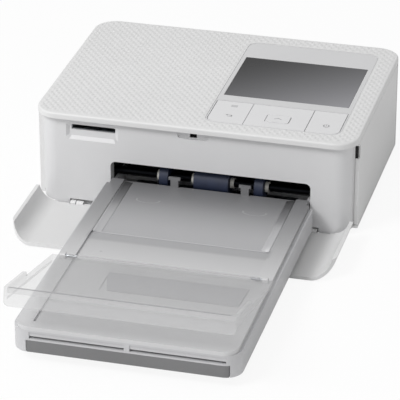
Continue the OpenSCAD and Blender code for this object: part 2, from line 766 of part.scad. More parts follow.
// Black moulding that lines the cassette bay and turns the paper up at its back
module feed_guide() color(black_color) at_body() {
    y0 = face_back + collar_d + seam;
    y1 = pickup_y + 18;
    in_w = mouth_w / 2;
    difference() {
        union() {
            for (s = [-1, 1]) block(mid_x + s * (in_w + 1) - 1, mid_x + s * (in_w + 1) + 1,
                y0, y1, floor_top, mouth_top + 2.4);
            block(mid_x - in_w - 2, mid_x + in_w + 2, y0, bay_y[0] - 2, mouth_top + 0.8, mouth_top + 2.4);
            for (s = [-1, 1]) block(mid_x + s * 47 - 6, mid_x + s * 47 + 6, floor_front + 1, y1,
                floor_top, tray_z - 0.2);
        }
        bar_x(-half_w, half_w, pickup_at, pickup_shaft_r + 0.4);
        block(-half_w, half_w, 0, pickup_y, pickup_z - pickup_shaft_r - 0.4, pickup_z + pickup_shaft_r + 0.4);
    }
    along_x(mid_x - in_w, mid_x + in_w) ramp(cas_in + 1.6);
}

// Quarter of a ring that leads the paper from the tray up to the platen
module ramp(y0) difference() {
    union() {
        intersection() {
            translate([y0, floor_top]) square([22, 22]);
            translate([y0, floor_top + 22]) circle(22);
        }
        translate([y0, floor_top]) square([2, 1.5]);
    }
    translate([y0, floor_top + 22]) circle(20);
}

// drive

// Spur gear with straight-flanked teeth; "turn" is the first tooth's direction
module gear_outline(teeth, turn, bore) {
    r = pitch_r(teeth);
    tip = r + 0.75 * gear_m;
    root = r - 1.1 * gear_m;
    half = 90 / teeth * 0.84;
    slope = 20 * gear_m / r * 1.2;
    difference() {
        union() {
            circle(root + 0.05);
            for (i = [0:teeth - 1]) rotate(turn + i * 360 / teeth) polygon([
                [root - 0.3, -root * tan(half + slope)], [r, -r * tan(half)],
                [tip, -tip * tan(half - slope)], [tip, tip * tan(half - slope)],
                [r, r * tan(half)], [root - 0.3, root * tan(half + slope)]]);
        }
        circle(bore);
    }
}

module gear(at, teeth, turn, bore) color(gear_color) at_body()
    translate([0, at[0], at[1]]) along_x(gear_x, gear_x + gear_w) gear_outline(teeth, turn, bore);

module pickup_gear() gear(pickup_at, teeth_pickup, pickup_turn, pickup_shaft_r + fit);
module idler_b() gear(idler_b_at, teeth_idler, idler_b_turn, 2 + run);
module idler_c() gear(idler_c_at, teeth_idler, idler_c_turn, 2 + run);
module transfer_gear() gear(transfer_at, teeth_transfer, transfer_turn, 2 + run);
module platen_gear() gear(platen_at, teeth_main, platen_turn, shaft_r + fit);
module feed_gear() gear(feed_at, teeth_main, feed_turn, shaft_r + fit);
module motor_pinion() gear(motor_at, teeth_pinion, motor_turn, 1.2 + fit);

module idler_pins() color(steel_color) at_body() for (p = [idler_b_at, idler_c_at, transfer_at]) {
    bar_x(gear_x - 1.2, left_x + frame_t, p, 2 - fit);
    bar_x(gear_x + gear_w + 0.3, left_x - eps, p, 3.2);
    bar_x(gear_x - 1.2, gear_x - 0.3, p, 3);
}

module pickup_shaft() color(steel_color) at_body()
    bar_x(gear_x - 0.5, right_x + frame_t + 2, pickup_at, pickup_shaft_r);

module pickup_rollers() color(rubber_color) at_body() for (p = [[0, wide_roller_w],
    [-narrow_roller_x, narrow_roller_w], [narrow_roller_x, narrow_roller_w]]) difference() {
        bar_x(mid_x + p[0] - p[1] / 2, mid_x + p[0] + p[1] / 2, pickup_at, pickup_r);
        bar_x(-half_w, half_w, pickup_at, pickup_shaft_r + fit);
    }

module shaft_collars() color("white") at_body() for (s = [-1, 1],
    x = [wide_roller_w / 2, narrow_roller_x + narrow_roller_w / 2]) difference() {
        bar_x(mid_x + s * (x + 1.2) - 1, mid_x + s * (x + 1.2) + 1, pickup_at, 3);
        bar_x(-half_w, half_w, pickup_at, pickup_shaft_r + fit);
    }

module platen_shaft() color(steel_color) at_body()
    bar_x(gear_x - 0.5, right_x + frame_t + 3, platen_at, shaft_r);

module platen_sleeve() color(black_color) at_body() difference() {
    bar_x(mid_x - roller_l / 2, mid_x + roller_l / 2, platen_at, platen_r);
    bar_x(-half_w, half_w, platen_at, shaft_r + fit);
}

module platen_bushes() color(gear_color) at_body()
    for (side = [[left_x, 1], [right_x + frame_t, -1]]) difference() {
    union() {
        bar_x(side[0] - 0.6 - frame_t * (1 - side[1]) / 2, side[0] + 0.6 + frame_t * (1 + side[1]) / 2,
            platen_at, bush_r);
        bar_x(min(side[0], side[0] - 1.2 * side[1]), max(side[0], side[0] - 1.2 * side[1]),
            platen_at, bush_r + 1);
    }
    bar_x(-half_w, half_w, platen_at, shaft_r + run);
}

module feed_roller() color(steel_color) at_body() {
    bar_x(gear_x - 0.5, right_x + frame_t + 2, feed_at, shaft_r);
}

module pinch_roller() color(rubber_color) at_body() {
    bar_x(mid_x - roller_l / 2, mid_x + roller_l / 2, pinch_at, pinch_r);
    bar_x(left_x - 1, right_x + frame_t + 1, pinch_at, 1.2);
}

// Motor on the inner side of the left frame, on a foot, with its shaft through the frame
module motor() color(steel_color) at_body() {
    bar_x(left_x + frame_t, left_x + frame_t + motor_l, motor_at, motor_r);
    bar_x(gear_x, left_x + frame_t + eps, motor_at, 1.2);
    block(left_x + frame_t, left_x + frame_t + motor_l, motor_at[0] - 5, motor_at[0] + 5,
        floor_top + 1, motor_at[1]);
}

// Gear, shaft and cross-shaped dog that turn the take-up spool
module spool_drive() {
    gear(takeup_at, teeth_spool, takeup_turn, 0);
    color(gear_color) at_body() {
        bar_x(gear_x + gear_w - eps, cart_x - 1.2, takeup_at, hub_r);
        difference() {
            bar_x(cart_x - 1.2 - eps, cart_x + 1.6, takeup_at, 1.4);
        }
        for (a = [0, 90]) translate([cart_x - 1.2 - eps, takeup_at[0], takeup_at[1]]) rotate([a, 0, 0])
            translate([0, -2, -0.5]) cube([2.8, 4, 1]);
    }
}

// print head

post_y = [platen_y - 5.5, platen_y + 5.5];
head_z = film_z + ribbon_t + 3.2;
bridge_z = frame_z;
head_x = [mid_x - 49.5, mid_x + 49.5];

// Bridge over the cartridge, with the posts that the print head slides on
module head_bridge() color(steel_color) at_body() {
    block(left_x, right_x + frame_t, platen_y - 9, platen_y + 9, bridge_z, bridge_z + bridge_t);
    for (x = [mid_x - 40, mid_x + 40]) translate([x, platen_y, head_z + 4.5])
        cylinder(h = bridge_z - head_z - 4.5 + eps, r = 2);
}

// Ceramic heater bar under its finned heat sink
module thermal_head() color("silver") at_body() difference() {
    union() {
        block(head_x[0], head_x[1], platen_y - 4, platen_y + 4, head_z + 0.4, head_z + 2);
        intersection() {
            bar_x(head_x[0], head_x[1], [platen_y, head_z + 1.4], 1.4);
            block(-half_w, half_w, platen_y - 2, platen_y + 2, head_z, head_z + 1);
        }
        block(head_x[0], head_x[1], platen_y - 8, platen_y + 8, head_z + 2 - eps, head_z + 4);
        for (i = [-3:3]) block(head_x[0], head_x[1], platen_y + i * 2.5 - 0.5, platen_y + i * 2.5 + 0.5,
            head_z + 4 - eps, head_z + 9);
        for (x = [mid_x - 40, mid_x + 40]) translate([x, platen_y, head_z + 3])
            cylinder(h = 6, r = 3.6);
    }
    for (x = [mid_x - 40, mid_x + 40]) translate([x, platen_y, head_z + 1.2])
        cylinder(h = 20, r = 2 + run);
}

// ink cartridge

cart_end = cart_x + cart_l;
cap_x = mid_x + roller_l / 2 + 2.5;

module ribbon_case() color([0.35, 0.36, 0.38]) at_body() difference() {
    union() {
        for (p = [supply_at, takeup_at]) bar_x(cart_x, cap_x, p, trough_r);
        block(cart_x, cart_x + 2, supply_y, takeup_y, film_z - 0.4, film_z + 0.6);
        along_x(cap_x - 2, cart_end) translate([(supply_y + takeup_y) / 2, spool_z])
            rounded(takeup_y - supply_y + 2 * trough_r + 0.8, 2 * trough_r + 0.6, trough_r);
    }
    for (p = [supply_at, takeup_at]) {
        bar_x(cart_x + cart_wall, cap_x - cart_wall, p, trough_r - cart_wall);
        bar_x(cart_x - 1, cap_x + 2, p, hub_r + run);
    }
    // Relief over the platen
    block(cap_x - 3, cart_end + 1, platen_y - 10.5, platen_y + 10.5, spool_z - trough_r - 1, film_z - 0.2);
    // Slots that let the ribbon out towards the print head
    block(cart_x + 2, cap_x - 2, supply_y, takeup_y, film_z - 2, film_z + 2.6);
    // Finger hollow in the end that faces the side door
    along_x(cart_end - 12, cart_end + 1) for (s = [-1, 1])
        translate([(supply_y + takeup_y) / 2 + s * 12, spool_z]) rounded(16, 12, 3);
}

// Core with flanges and the ribbon wound on it
module spool(at) difference() {
    union() {
        bar_x(cart_x + 0.2, cap_x + 1.6, at, hub_r);
        bar_x(mid_x - ribbon_w / 2, mid_x + ribbon_w / 2, at, roll_r);
        for (s = [-1, 1]) bar_x(mid_x + s * (ribbon_w / 2 + 0.6) - 0.6,
            mid_x + s * (ribbon_w / 2 + 0.6) + 0.6, at, trough_r - cart_wall - 0.4);
    }
    for (a = [0, 90]) translate([cart_x, at[0], at[1]]) rotate([a, 0, 0])
        translate([-1, -2.3, -0.8]) cube([3.4, 4.6, 1.6]);
    bar_x(cart_x - 1, cart_x + 2.4, at, 1.7);
}

module supply_spool() color([0.25, 0.20, 0.32]) at_body() spool(supply_at);
module takeup_spool() color([0.25, 0.20, 0.32]) at_body() spool(takeup_at);

module ribbon_film() color([0.30, 0.25, 0.40]) at_body()
    block(mid_x - ribbon_w / 2, mid_x + ribbon_w / 2, supply_y, takeup_y, film_z, film_z + ribbon_t);

module eject_lever() color([0.55, 0.56, 0.58]) at_body() {
    difference() {
        along_x(right_x + frame_t + 0.3, right_x + frame_t + 2.3) {
            translate(lever_at) circle(3.4);
            translate(lever_at) translate([-1.6, 0]) square([3.2, 12]);
            translate(lever_at) translate([-1.6, 10.5]) square([6.4, 2.4]);
        }
        bar_x(0, 100, lever_at, 1.5 + run);
    }
}

// cassette

// Plan of the tray, wide outside the body and narrower inside it
module tray_plan(inset, w = tray_w) translate([mid_x, 0]) {
    difference() {
        translate([0, -cas_out / 2 - 1.25]) rounded(w - 2 * inset, cas_out - 2.5 - 2 * inset,
            9 - inset - (tray_w - w) / 2);
        translate([-w, -20]) square([2 * w, 20]);
    }
    translate([-w / 2 + inset, -30]) square([w - 2 * inset, 27.5 - inset]);
    translate([-insert_w / 2 + inset, -8]) square([insert_w - 2 * inset, cas_in + 8 - inset]);
}

module cassette_tray() color(clear_color) at_body() difference() {
    slab(tray_z, tray_top) tray_plan(0);
    slab(tray_floor, tray_top + 1) tray_plan(tray_wall);
    block(mid_x - groove_w / 2, mid_x + groove_w / 2, -cas_out + bar_depth + 2, cas_in + 1,
        tray_z - 1, tray_z + groove_h);
    block(bar_mid - bar_w / 2 - 0.3, bar_mid + bar_w / 2 + 0.3, -cas_out - 1, -cas_out + bar_depth,
        tray_z - 1, tray_z + bar_h);
    // Low rear edge that passes under the pickup rollers
    block(mid_x - insert_w / 2 + tray_wall, mid_x + insert_w / 2 - tray_wall,
        cas_in - tray_wall - 1, cas_in + 1, pickup_z - pickup_r - 0.9, tray_top + 1);
    // Two slots, each at the foot of a shallow pocket
    for (s = [-1, 1]) {
        slot_end = bar_w / 2 - 1.5;
        x = bar_mid + s * (slot_end + 1.4) / 2;
        half = (slot_end - 1.4) / 2;
        block(x - half, x + half, -cas_out - 1, -cas_out + tray_wall + 1, slot_z, slot_z + slot_h);
        block(x - half, x + half, -cas_out - 1, -cas_out + 0.5, slot_z, slot_z + slot_h + 2.4);
    }
}

module cassette_bar() color([0.42, 0.42, 0.43]) at_body() slab(tray_z, tray_z + bar_h) intersection() {
    tray_plan(0);
    translate([bar_mid - bar_w / 2, -cas_out]) square([bar_w, bar_depth]);
}

// Front deck with the two side rails that run back beside the lid
module cassette_deck() color(clear_color) at_body() difference() {
    union() {
        slab(tray_top, deck_z) difference() {
            intersection() {
                tray_plan(0, deck_w);
                translate([mid_x - deck_w, -2 * cas_out])
                    square([2 * deck_w, 2 * cas_out + pickup_y - pickup_r - 1]);
            }
            translate([mid_x - inner_w / 2, -lid_y + 1.4]) square([inner_w, lid_y + cas_in]);
        }
        for (s = [-1, 1]) translate([mid_x + s * (deck_w / 2 - 3), -flap_y, 0]) difference() {
            along_x(-1.5, 1.5) {
                translate([0, flap_z]) circle(flap_pin_r + 0.9);
                translate([-flap_pin_r - 0.9, deck_z - eps]) square([2 * flap_pin_r + 1.8, flap_z - deck_z]);
            }
        }
    }
    slab(deck_low, deck_z + 1) translate([mid_x - inner_w / 2, -cas_out + 6])
        square([inner_w, cas_out - 6 - lid_y + 2]);
    slab(tray_top - 1, deck_low - lid_t) translate([mid_x - inner_w / 2, -cas_out + 6])
        square([inner_w, cas_out - 6 - lid_y - 1]);
    // Shallow window behind the flap's hinge
    slab(deck_low - 0.5, deck_z) translate([mid_x - 27, -flap_y - 27]) square([75, 20]);
    bar_x(mid_x - deck_w, mid_x + deck_w, [-flap_y, flap_z], flap_pin_r + fit);
    bar_x(mid_x - deck_w, mid_x + deck_w, lid_at, lid_pin_r + run);
}

lid_back = pickup_y - pickup_r - 0.9;
module half_moon(r) difference() {
    scale([1, 0.5]) circle(r);
    translate([-r, 1]) square([2 * r, r]);
}

module cassette_lid() color(clear_color) at_body() {
    difference() {
        union() {
            slab(deck_low - lid_t, deck_low) translate([mid_x - inner_w / 2 + 0.4, -lid_y + 1.8])
                square([inner_w - 0.8, lid_y - 1.8 + lid_back]);
            bar_x(mid_x - inner_w / 2 - 3, mid_x + inner_w / 2 + 3, lid_at, lid_pin_r);
        }
        // Thumb marks
        for (s = [-1, 1]) translate([mid_x + s * 30, -16, deck_low - 0.5]) linear_extrude(1)
            difference() {
                half_moon(7);
                half_moon(5.9);
            }
    }
    for (s = [-1, 1]) translate([mid_x + s * tab_x, 0, 0]) {
        block(-2.2, 2.2, lid_back - 1.2, lid_back, deck_low - eps, deck_low + tab_h);
        block(-tab_w / 2, tab_w / 2, lid_back - 1.2, lid_back, deck_low + tab_h - 1.6, deck_low + tab_h);
    }
}

// The flap is drawn level, with its hinge line on the X axis, and then tilted
module flap_place() translate([mid_x, -flap_y, flap_z]) rotate([-flap_tilt, 0, 0]) children();

module output_flap() color(clear_color) at_body() flap_place() difference() {
    union() {
        translate([0, 0, -flap_t / 2]) linear_extrude(flap_t)
            translate([-flap_w / 2, -flap_l]) square([flap_w, flap_l - 3]);
        block(-deck_w / 2 + 6, deck_w / 2 - 6, -4, 0, -flap_t / 2, flap_t / 2);
        bar_x(-deck_w / 2 + 6, deck_w / 2 - 6, [0, 0], flap_t / 2 + 0.2);
        for (s = [-1, 1]) {
            block(s * (flap_w - flap_wall_t) / 2 - flap_wall_t / 2, s * (flap_w - flap_wall_t) / 2
                + flap_wall_t / 2, -flap_l, -8, -flap_t / 2 - 1.6, 0);
            along_stub(s * (flap_w - flap_wall_t) / 2 - flap_wall_t / 2);
        }
        along_y(-flap_l, -flap_l + flap_wall_t) translate([0, flap_wall_h / 2 - flap_low])
            rounded(flap_w, flap_wall_h, 2.6);
        for (x = [-43.4, 26.6, 34, 45]) block(x - 0.5, x + 0.5, -flap_l + flap_wall_t - eps,
            -flap_l + flap_wall_t + 0.8, flap_t / 2 - eps, flap_wall_h - flap_low - 0.8);
    }
    for (s = [-1, 1]) translate([s * (deck_w / 2 - 3), 0, 0]) block(-1.8, 1.8, -3.2, 4, -3, 3);
    bar_x(-200, 200, [0, 0], flap_pin_r + run);
}

// Corner stub as high as the front wall, with a rounded back end
module along_stub(x0) along_x(x0, x0 + flap_wall_t) {
    top = flap_wall_h - flap_low;
    polygon([[-flap_l, 0], [-flap_l, top], [-flap_l + stub_l - 4.5, top], [-flap_l + stub_l - 2, top - 0.9],
        [-flap_l + stub_l - 0.7, top - 2.6], [-flap_l + stub_l, 0]]);
}

module flap_pins() color(steel_color) at_body() for (s = [-1, 1])
    bar_x(mid_x + s * (deck_w / 2 - 6) - 4.5, mid_x + s * (deck_w / 2 - 6) + 4.5,
        [-flap_y, flap_z], flap_pin_r);

lift_y = -14;
module lift_plate() color(steel_color) at_body() difference() {
    block(mid_x - 46, mid_x + 46, lift_y, cas_in - 4, tray_floor + 0.3, tray_floor + 1.1);
    for (s = [-1, 1]) translate([mid_x + s * 24, 4, tray_floor - 1]) linear_extrude(4) rounded(16, 10, 3);
}

bottom_case();
casing();
front_panel();
top_cover();
rubber_feet();
case_screws();
panel_bezel();
lcd_window();
lcd_module();
menu_rocker();
four_way_pad();
ok_key();
power_key();
key_board();
front_door();
front_door_pins();
door_catch();
side_door();
side_door_pins();
card_socket();
main_board();
dc_inlet();
chassis_plate();
left_frame();
right_frame();
feed_guide();
pickup_shaft();
pickup_rollers();
shaft_collars();
pickup_gear();
idler_b();
idler_c();
transfer_gear();
idler_pins();
platen_shaft();
platen_sleeve();
platen_gear();
platen_bushes();
feed_roller();
feed_gear();
pinch_roller();
motor();
motor_pinion();
spool_drive();
head_bridge();
thermal_head();
ribbon_case();
supply_spool();
takeup_spool();
ribbon_film();
eject_lever();
cassette_tray();
cassette_bar();
cassette_deck();
cassette_lid();
output_flap();
flap_pins();
lift_plate();
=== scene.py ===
import math

import bmesh
import bpy
from mathutils import Matrix, Vector


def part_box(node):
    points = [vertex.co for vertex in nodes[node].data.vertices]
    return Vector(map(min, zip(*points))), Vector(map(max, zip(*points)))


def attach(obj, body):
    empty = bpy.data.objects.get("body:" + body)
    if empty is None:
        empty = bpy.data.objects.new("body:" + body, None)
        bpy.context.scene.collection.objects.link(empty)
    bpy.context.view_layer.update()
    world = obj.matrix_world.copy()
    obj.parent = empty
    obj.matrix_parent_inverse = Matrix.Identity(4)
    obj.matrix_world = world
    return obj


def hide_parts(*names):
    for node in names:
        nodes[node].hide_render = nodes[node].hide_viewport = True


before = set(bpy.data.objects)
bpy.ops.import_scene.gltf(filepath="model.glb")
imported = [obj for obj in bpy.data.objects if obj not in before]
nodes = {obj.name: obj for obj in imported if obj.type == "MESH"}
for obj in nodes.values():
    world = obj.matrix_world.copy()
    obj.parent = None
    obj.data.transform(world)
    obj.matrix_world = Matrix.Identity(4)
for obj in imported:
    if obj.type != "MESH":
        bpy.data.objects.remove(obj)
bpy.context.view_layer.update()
mm = 0.001
print("frame loaded:", len(nodes), "nodes")


def toLinear(hexColour):
    channels = [int(hexColour[i:i + 2], 16) / 255 for i in (1, 3, 5)]
    return [c / 12.92 if c <= 0.04045 else ((c + 0.055) / 1.055) ** 2.4 for c in channels] + [1.0]


def addNode(tree, kind, settings=None, inputs=None):
    node = tree.nodes.new(kind)
    for name, value in (settings or {}).items():
        setattr(node, name, value)
    for socket, value in (inputs or {}).items():
        if isinstance(value, bpy.types.NodeSocket):
            tree.links.new(value, node.inputs[socket])
        else:
            node.inputs[socket].default_value = value
    return node


def startMaterial(name):
    material = bpy.data.materials.new(name)
    material.use_nodes = True
    tree = material.node_tree
    tree.nodes.clear()
    place = addNode(tree, "ShaderNodeTexCoord").outputs["Object"]
    return material, tree, place


def finishMaterial(tree, shader):
    addNode(tree, "ShaderNodeOutputMaterial", inputs={"Surface": shader.outputs[0]})


# Two close colours mixed by a slow noise: moulded parts are never quite even
def toneMix(tree, place, dark, light, sizeMm):
    noise = addNode(tree, "ShaderNodeTexNoise", {"noise_dimensions": "3D"},
                    {"Vector": place, "Scale": 1000 / sizeMm, "Detail": 3.0, "Roughness": 0.55})
    return addNode(tree, "ShaderNodeMix", {"data_type": "RGBA"},
                   {0: noise.outputs["Fac"], 6: toLinear(dark), 7: toLinear(light)}).outputs[2]


# Grain as a bump: sizeMm across one grain, depthMm deep
def grainBump(tree, place, sizeMm, depthMm, strength=0.6):
    noise = addNode(tree, "ShaderNodeTexNoise", {"noise_dimensions": "3D"},
                    {"Vector": place, "Scale": 1000 / sizeMm, "Detail": 2.0, "Roughness": 0.5})
    return addNode(tree, "ShaderNodeBump", {}, {"Height": noise.outputs["Fac"], "Distance": depthMm * mm,
                                                "Strength": strength}).outputs["Normal"]


# Roughness that wanders a little, as handling and moulding leave it
def roughMix(tree, place, low, high, sizeMm):
    noise = addNode(tree, "ShaderNodeTexNoise", {"noise_dimensions": "3D"},
                    {"Vector": place, "Scale": 1000 / sizeMm, "Detail": 4.0, "Roughness": 0.6})
    return addNode(tree, "ShaderNodeMapRange", {}, {"Value": noise.outputs["Fac"], "To Min": low,
                                                    "To Max": high}).outputs["Result"]


# Injection-moulded ABS or similar, with a fine spark-eroded grain
def mouldedPlastic(name, look):
    material, tree, place = startMaterial(name)
    shader = addNode(tree, "ShaderNodeBsdfPrincipled", {}, {
        "Base Color": toneMix(tree, place, look["dark"], look["light"], look["toneMm"]),
        "Roughness": roughMix(tree, place, look["rough"][0], look["rough"][1], look["toneMm"] / 3),
        "Normal": grainBump(tree, place, look["grainMm"], look["grainDepthMm"]),
        "IOR": look.get("ior", 1.53)})
    finishMaterial(tree, shader)
    return material


whiteAbs = mouldedPlastic("mouldedWhiteAbs", {  # satin shell: pale, even, a soft wide sheen
    "dark": "#dadada", "light": "#e2e2e2", "toneMm": 60, "rough": (0.42, 0.5), "grainMm": 0.7,
    "grainDepthMm": 0.012})
shadedFrontAbs = mouldedPlastic("mouldedShadedFrontAbs", {  # the same shell plastic, a shade greyer: painted shade for the recessed front
    "dark": "#d4d4d5", "light": "#dcdcdd", "toneMm": 50, "rough": (0.4, 0.48), "grainMm": 0.7,
    "grainDepthMm": 0.01})
keyAbs = mouldedPlastic("silkPaintedKeyAbs", {  # painted keys: flat and nearly without grain
    "dark": "#dadadb", "light": "#e0e0e1", "toneMm": 30, "rough": (0.32, 0.38), "grainMm": 0.6,
    "grainDepthMm": 0.005})
bezelAbs = mouldedPlastic("satinBezelAbs", {  # the flat frame round the display, a shade below the keys
    "dark": "#cdcdce", "light": "#d4d4d5", "toneMm": 40, "rough": (0.34, 0.42), "grainMm": 0.6,
    "grainDepthMm": 0.006})
blackAbs = mouldedPlastic("blackInnerAbs", {  # inner liners: black, dull, coarse grain
    "dark": "#050506", "light": "#0a0a0b", "toneMm": 20, "rough": (0.7, 0.8), "grainMm": 1.0,
    "grainDepthMm": 0.02, "ior": 1.46})
cartridgeAbs = mouldedPlastic("cartridgeGreyAbs", {  # ink cartridge shell: mid grey, satin
    "dark": "#4b4d50", "light": "#56585c", "toneMm": 25, "rough": (0.36, 0.46), "grainMm": 0.8,
    "grainDepthMm": 0.012})
barAbs = mouldedPlastic("cassetteBarGreyAbs", {  # the cassette's grey front bar
    "dark": "#717172", "light": "#7a7a7b", "toneMm": 30, "rough": (0.4, 0.5), "grainMm": 0.7,
    "grainDepthMm": 0.012})
acetal = mouldedPlastic("mouldedAcetal", {  # gears and bushes: ivory white, waxy
    "dark": "#dcdad2", "light": "#e6e4dd", "toneMm": 12, "rough": (0.28, 0.38), "grainMm": 0.5,
    "grainDepthMm": 0.006, "ior": 1.48})
rollerRubber = mouldedPlastic("groundBlueRubber", {  # pickup rollers: dark blue rubber with a ground face
    "dark": "#121a2e", "light": "#1c2742", "toneMm": 5, "rough": (0.5, 0.65), "grainMm": 0.5,
    "grainDepthMm": 0.05, "ior": 1.52})
blackRubber = mouldedPlastic("groundBlackRubber", {  # platen, pinch roller and feet
    "dark": "#111112", "light": "#1b1b1d", "toneMm": 8, "rough": (0.65, 0.8), "grainMm": 0.5,
    "grainDepthMm": 0.04, "ior": 1.52})
ribbonFilm = mouldedPlastic("inkRibbonPolyester", {  # wound ribbon: dark violet film with a gloss
    "dark": "#2a2038", "light": "#3a2c4d", "toneMm": 6, "rough": (0.2, 0.32), "grainMm": 0.4,
    "grainDepthMm": 0.004, "ior": 1.64})
printInk = mouldedPlastic("greyPadPrint", {  # pad-printed symbols: grey ink, a hair's breadth proud
    "dark": "#9a9a9c", "light": "#a4a4a6", "toneMm": 4, "rough": (0.45, 0.55), "grainMm": 0.4,
    "grainDepthMm": 0.003})


# Rolled or ground metal: fine streaks along one axis
def brushedMetal(name, look):
    material, tree, place = startMaterial(name)
    stretch = addNode(tree, "ShaderNodeVectorMath", {"operation": "MULTIPLY"},
                      {0: place, 1: look["stretch"]}).outputs[0]
    streak = addNode(tree, "ShaderNodeTexNoise", {"noise_dimensions": "3D"},
                     {"Vector": stretch, "Scale": 1000 / look["streakMm"], "Detail": 3.0, "Roughness": 0.6})
    shader = addNode(tree, "ShaderNodeBsdfPrincipled", {}, {
        "Base Color": toneMix(tree, place, look["dark"], look["light"], look["toneMm"]),
        "Metallic": 1.0,
        "Roughness": addNode(tree, "ShaderNodeMapRange", {}, {
            "Value": streak.outputs["Fac"], "To Min": look["rough"][0], "To Max": look["rough"][1]})
        .outputs["Result"],
        "Normal": addNode(tree, "ShaderNodeBump", {}, {
            "Height": streak.outputs["Fac"], "Distance": look["streakDepthMm"] * mm,
            "Strength": 0.5}).outputs["Normal"]})
    finishMaterial(tree, shader)
    return material


zincSteel = brushedMetal("zincPlatedSheetSteel", {  # chassis sheet: cool, dull, slightly cloudy
    "dark": "#8f9397", "light": "#a5a9ad", "toneMm": 15, "rough": (0.3, 0.48), "stretch": (0.08, 1, 1),
    "streakMm": 0.6, "streakDepthMm": 0.01})
groundSteel = brushedMetal("groundShaftSteel", {  # shafts: bright with fine rings
    "dark": "#a9acb0", "light": "#b9bcc0", "toneMm": 8, "rough": (0.16, 0.28), "stretch": (1, 0.1, 0.1),
    "streakMm": 0.5, "streakDepthMm": 0.004})
blackenedSteel = brushedMetal("blackenedShaftSteel", {  # pickup shaft: oil-blackened, nearly lost in the dark
    "dark": "#0d0e10", "light": "#16171a", "toneMm": 8, "rough": (0.42, 0.54), "stretch": (1, 0.1, 0.1),
    "streakMm": 0.5, "streakDepthMm": 0.004})
finAluminium = brushedMetal("extrudedAluminium", {  # heat sink: pale with drawing lines along it
    "dark": "#b4b7bb", "light": "#c6c9cc", "toneMm": 10, "rough": (0.28, 0.42), "stretch": (0.05, 1, 1),
    "streakMm": 0.5, "streakDepthMm": 0.008})
pinionBrass = brushedMetal("turnedBrass", {  # motor pinion
    "dark": "#b08d4a", "light": "#c4a25c", "toneMm": 4, "rough": (0.2, 0.32), "stretch": (1, 0.1, 0.1),
    "streakMm": 0.4, "streakDepthMm": 0.004})


# 1 where a place lies within reach of a middle along one axis, and a soft fade to 0 beyond it
def nearShare(tree, place, axis, middle, reach, fade):
    along = addNode(tree, "ShaderNodeSeparateXYZ", inputs={"Vector": place}).outputs[axis]
    away = addNode(tree, "ShaderNodeMath", {"operation": "SUBTRACT"}, {0: along, 1: middle})
    away = addNode(tree, "ShaderNodeMath", {"operation": "ABSOLUTE"}, {0: away.outputs[0]})
    return addNode(tree, "ShaderNodeMapRange", {"interpolation_type": "SMOOTHSTEP"}, {
        "Value": away.outputs[0], "From Min": reach + fade, "From Max": reach}).outputs["Result"]


# Milky translucent styrene: light goes through it, but shapes behind it blur into grey.
# With a far colour it turns darker over the given stretch of Y, towards the body: painted shade from the
# body's mouth. With a band colour a soft band of painted shade lies across it, where an edge shades the
# sheet.
def milkyStyrene(name, look):
    material, tree, place = startMaterial(name)
    colour = toneMix(tree, place, look["dark"], look["light"], look["toneMm"])
    # painted shade: the colour darkens towards the body's mouth
    if "mouthShadeHex" in look:
        along = addNode(tree, "ShaderNodeSeparateXYZ", inputs={"Vector": place}).outputs["Y"]
        share = addNode(tree, "ShaderNodeMapRange", {"interpolation_type": "SMOOTHSTEP"}, {
            "Value": along, "From Min": look["nearY"], "From Max": look["farY"]}).outputs["Result"]
        colour = addNode(tree, "ShaderNodeMix", {"data_type": "RGBA"},
                         {0: share, 6: colour, 7: toLinear(look["mouthShadeHex"])}).outputs[2]
    # painted shade: a soft darker band across the sheet
    if "shadeBandHex" in look:
        share = addNode(tree, "ShaderNodeMath", {"operation": "MULTIPLY"}, {
            0: nearShare(tree, place, "Y", look["bandY"], look["bandMm"] * mm, look["bandFadeMm"] * mm),
            1: nearShare(tree, place, "X", look["bandX"], look["bandHalf"], look["bandEndMm"] * mm)})
        colour = addNode(tree, "ShaderNodeMix", {"data_type": "RGBA"},
                         {0: share.outputs[0], 6: colour, 7: toLinear(look["shadeBandHex"])}).outputs[2]
    shader = addNode(tree, "ShaderNodeBsdfPrincipled", {}, {
        "Base Color": colour,
        "Roughness": roughMix(tree, place, look["rough"][0], look["rough"][1], 18),
        "Alpha": look["alpha"],
        "IOR": 1.57,
        "Normal": grainBump(tree, place, look["grainMm"], look["grainDepthMm"])})
    finishMaterial(tree, shader)
    return material


lidLow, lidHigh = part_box("cassette_lid")
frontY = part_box("top_cover")[0].y  # the body's front face, where the cassette's lengths are counted from
trayStyrene = milkyStyrene("milkyTrayStyrene", {
    "dark": "#cfcfd1", "light": "#d3d3d5", "toneMm": 90, "rough": (0.31, 0.33), "alpha": 0.84,
    "grainMm": 0.9, "grainDepthMm": 0.004})
deckStyrene = milkyStyrene("milkyDeckStyrene", {
    "dark": "#dadadb", "light": "#e0e0e1", "toneMm": 60, "rough": (0.24, 0.36), "alpha": 0.84,
    # far colour: painted shade towards the body's mouth, so the deck under the flap stays lighter
    "grainMm": 0.9, "grainDepthMm": 0.008, "mouthShadeHex": "#8c8c8e", "nearY": frontY - 112 * mm, "farY": frontY,
    # band: painted shade just in front of the lid's front edge
    "shadeBandHex": "#b3b3b5", "bandY": frontY - 62.6 * mm, "bandMm": 2.8, "bandFadeMm": 3.4,
    "bandX": (lidLow.x + lidHigh.x) / 2, "bandHalf": (lidHigh.x - lidLow.x) / 2 - 3 * mm, "bandEndMm": 2.0})
lidStyrene = milkyStyrene("smokyLidStyrene", {
    "dark": "#b7b7b9", "light": "#bdbdbf", "toneMm": 50, "rough": (0.26, 0.38), "alpha": 0.86,
    # far colour: painted shade towards the body's mouth
    "grainMm": 0.9, "grainDepthMm": 0.008, "mouthShadeHex": "#828284", "nearY": lidLow.y + 8 * mm,
    "farY": lidHigh.y + 4 * mm})
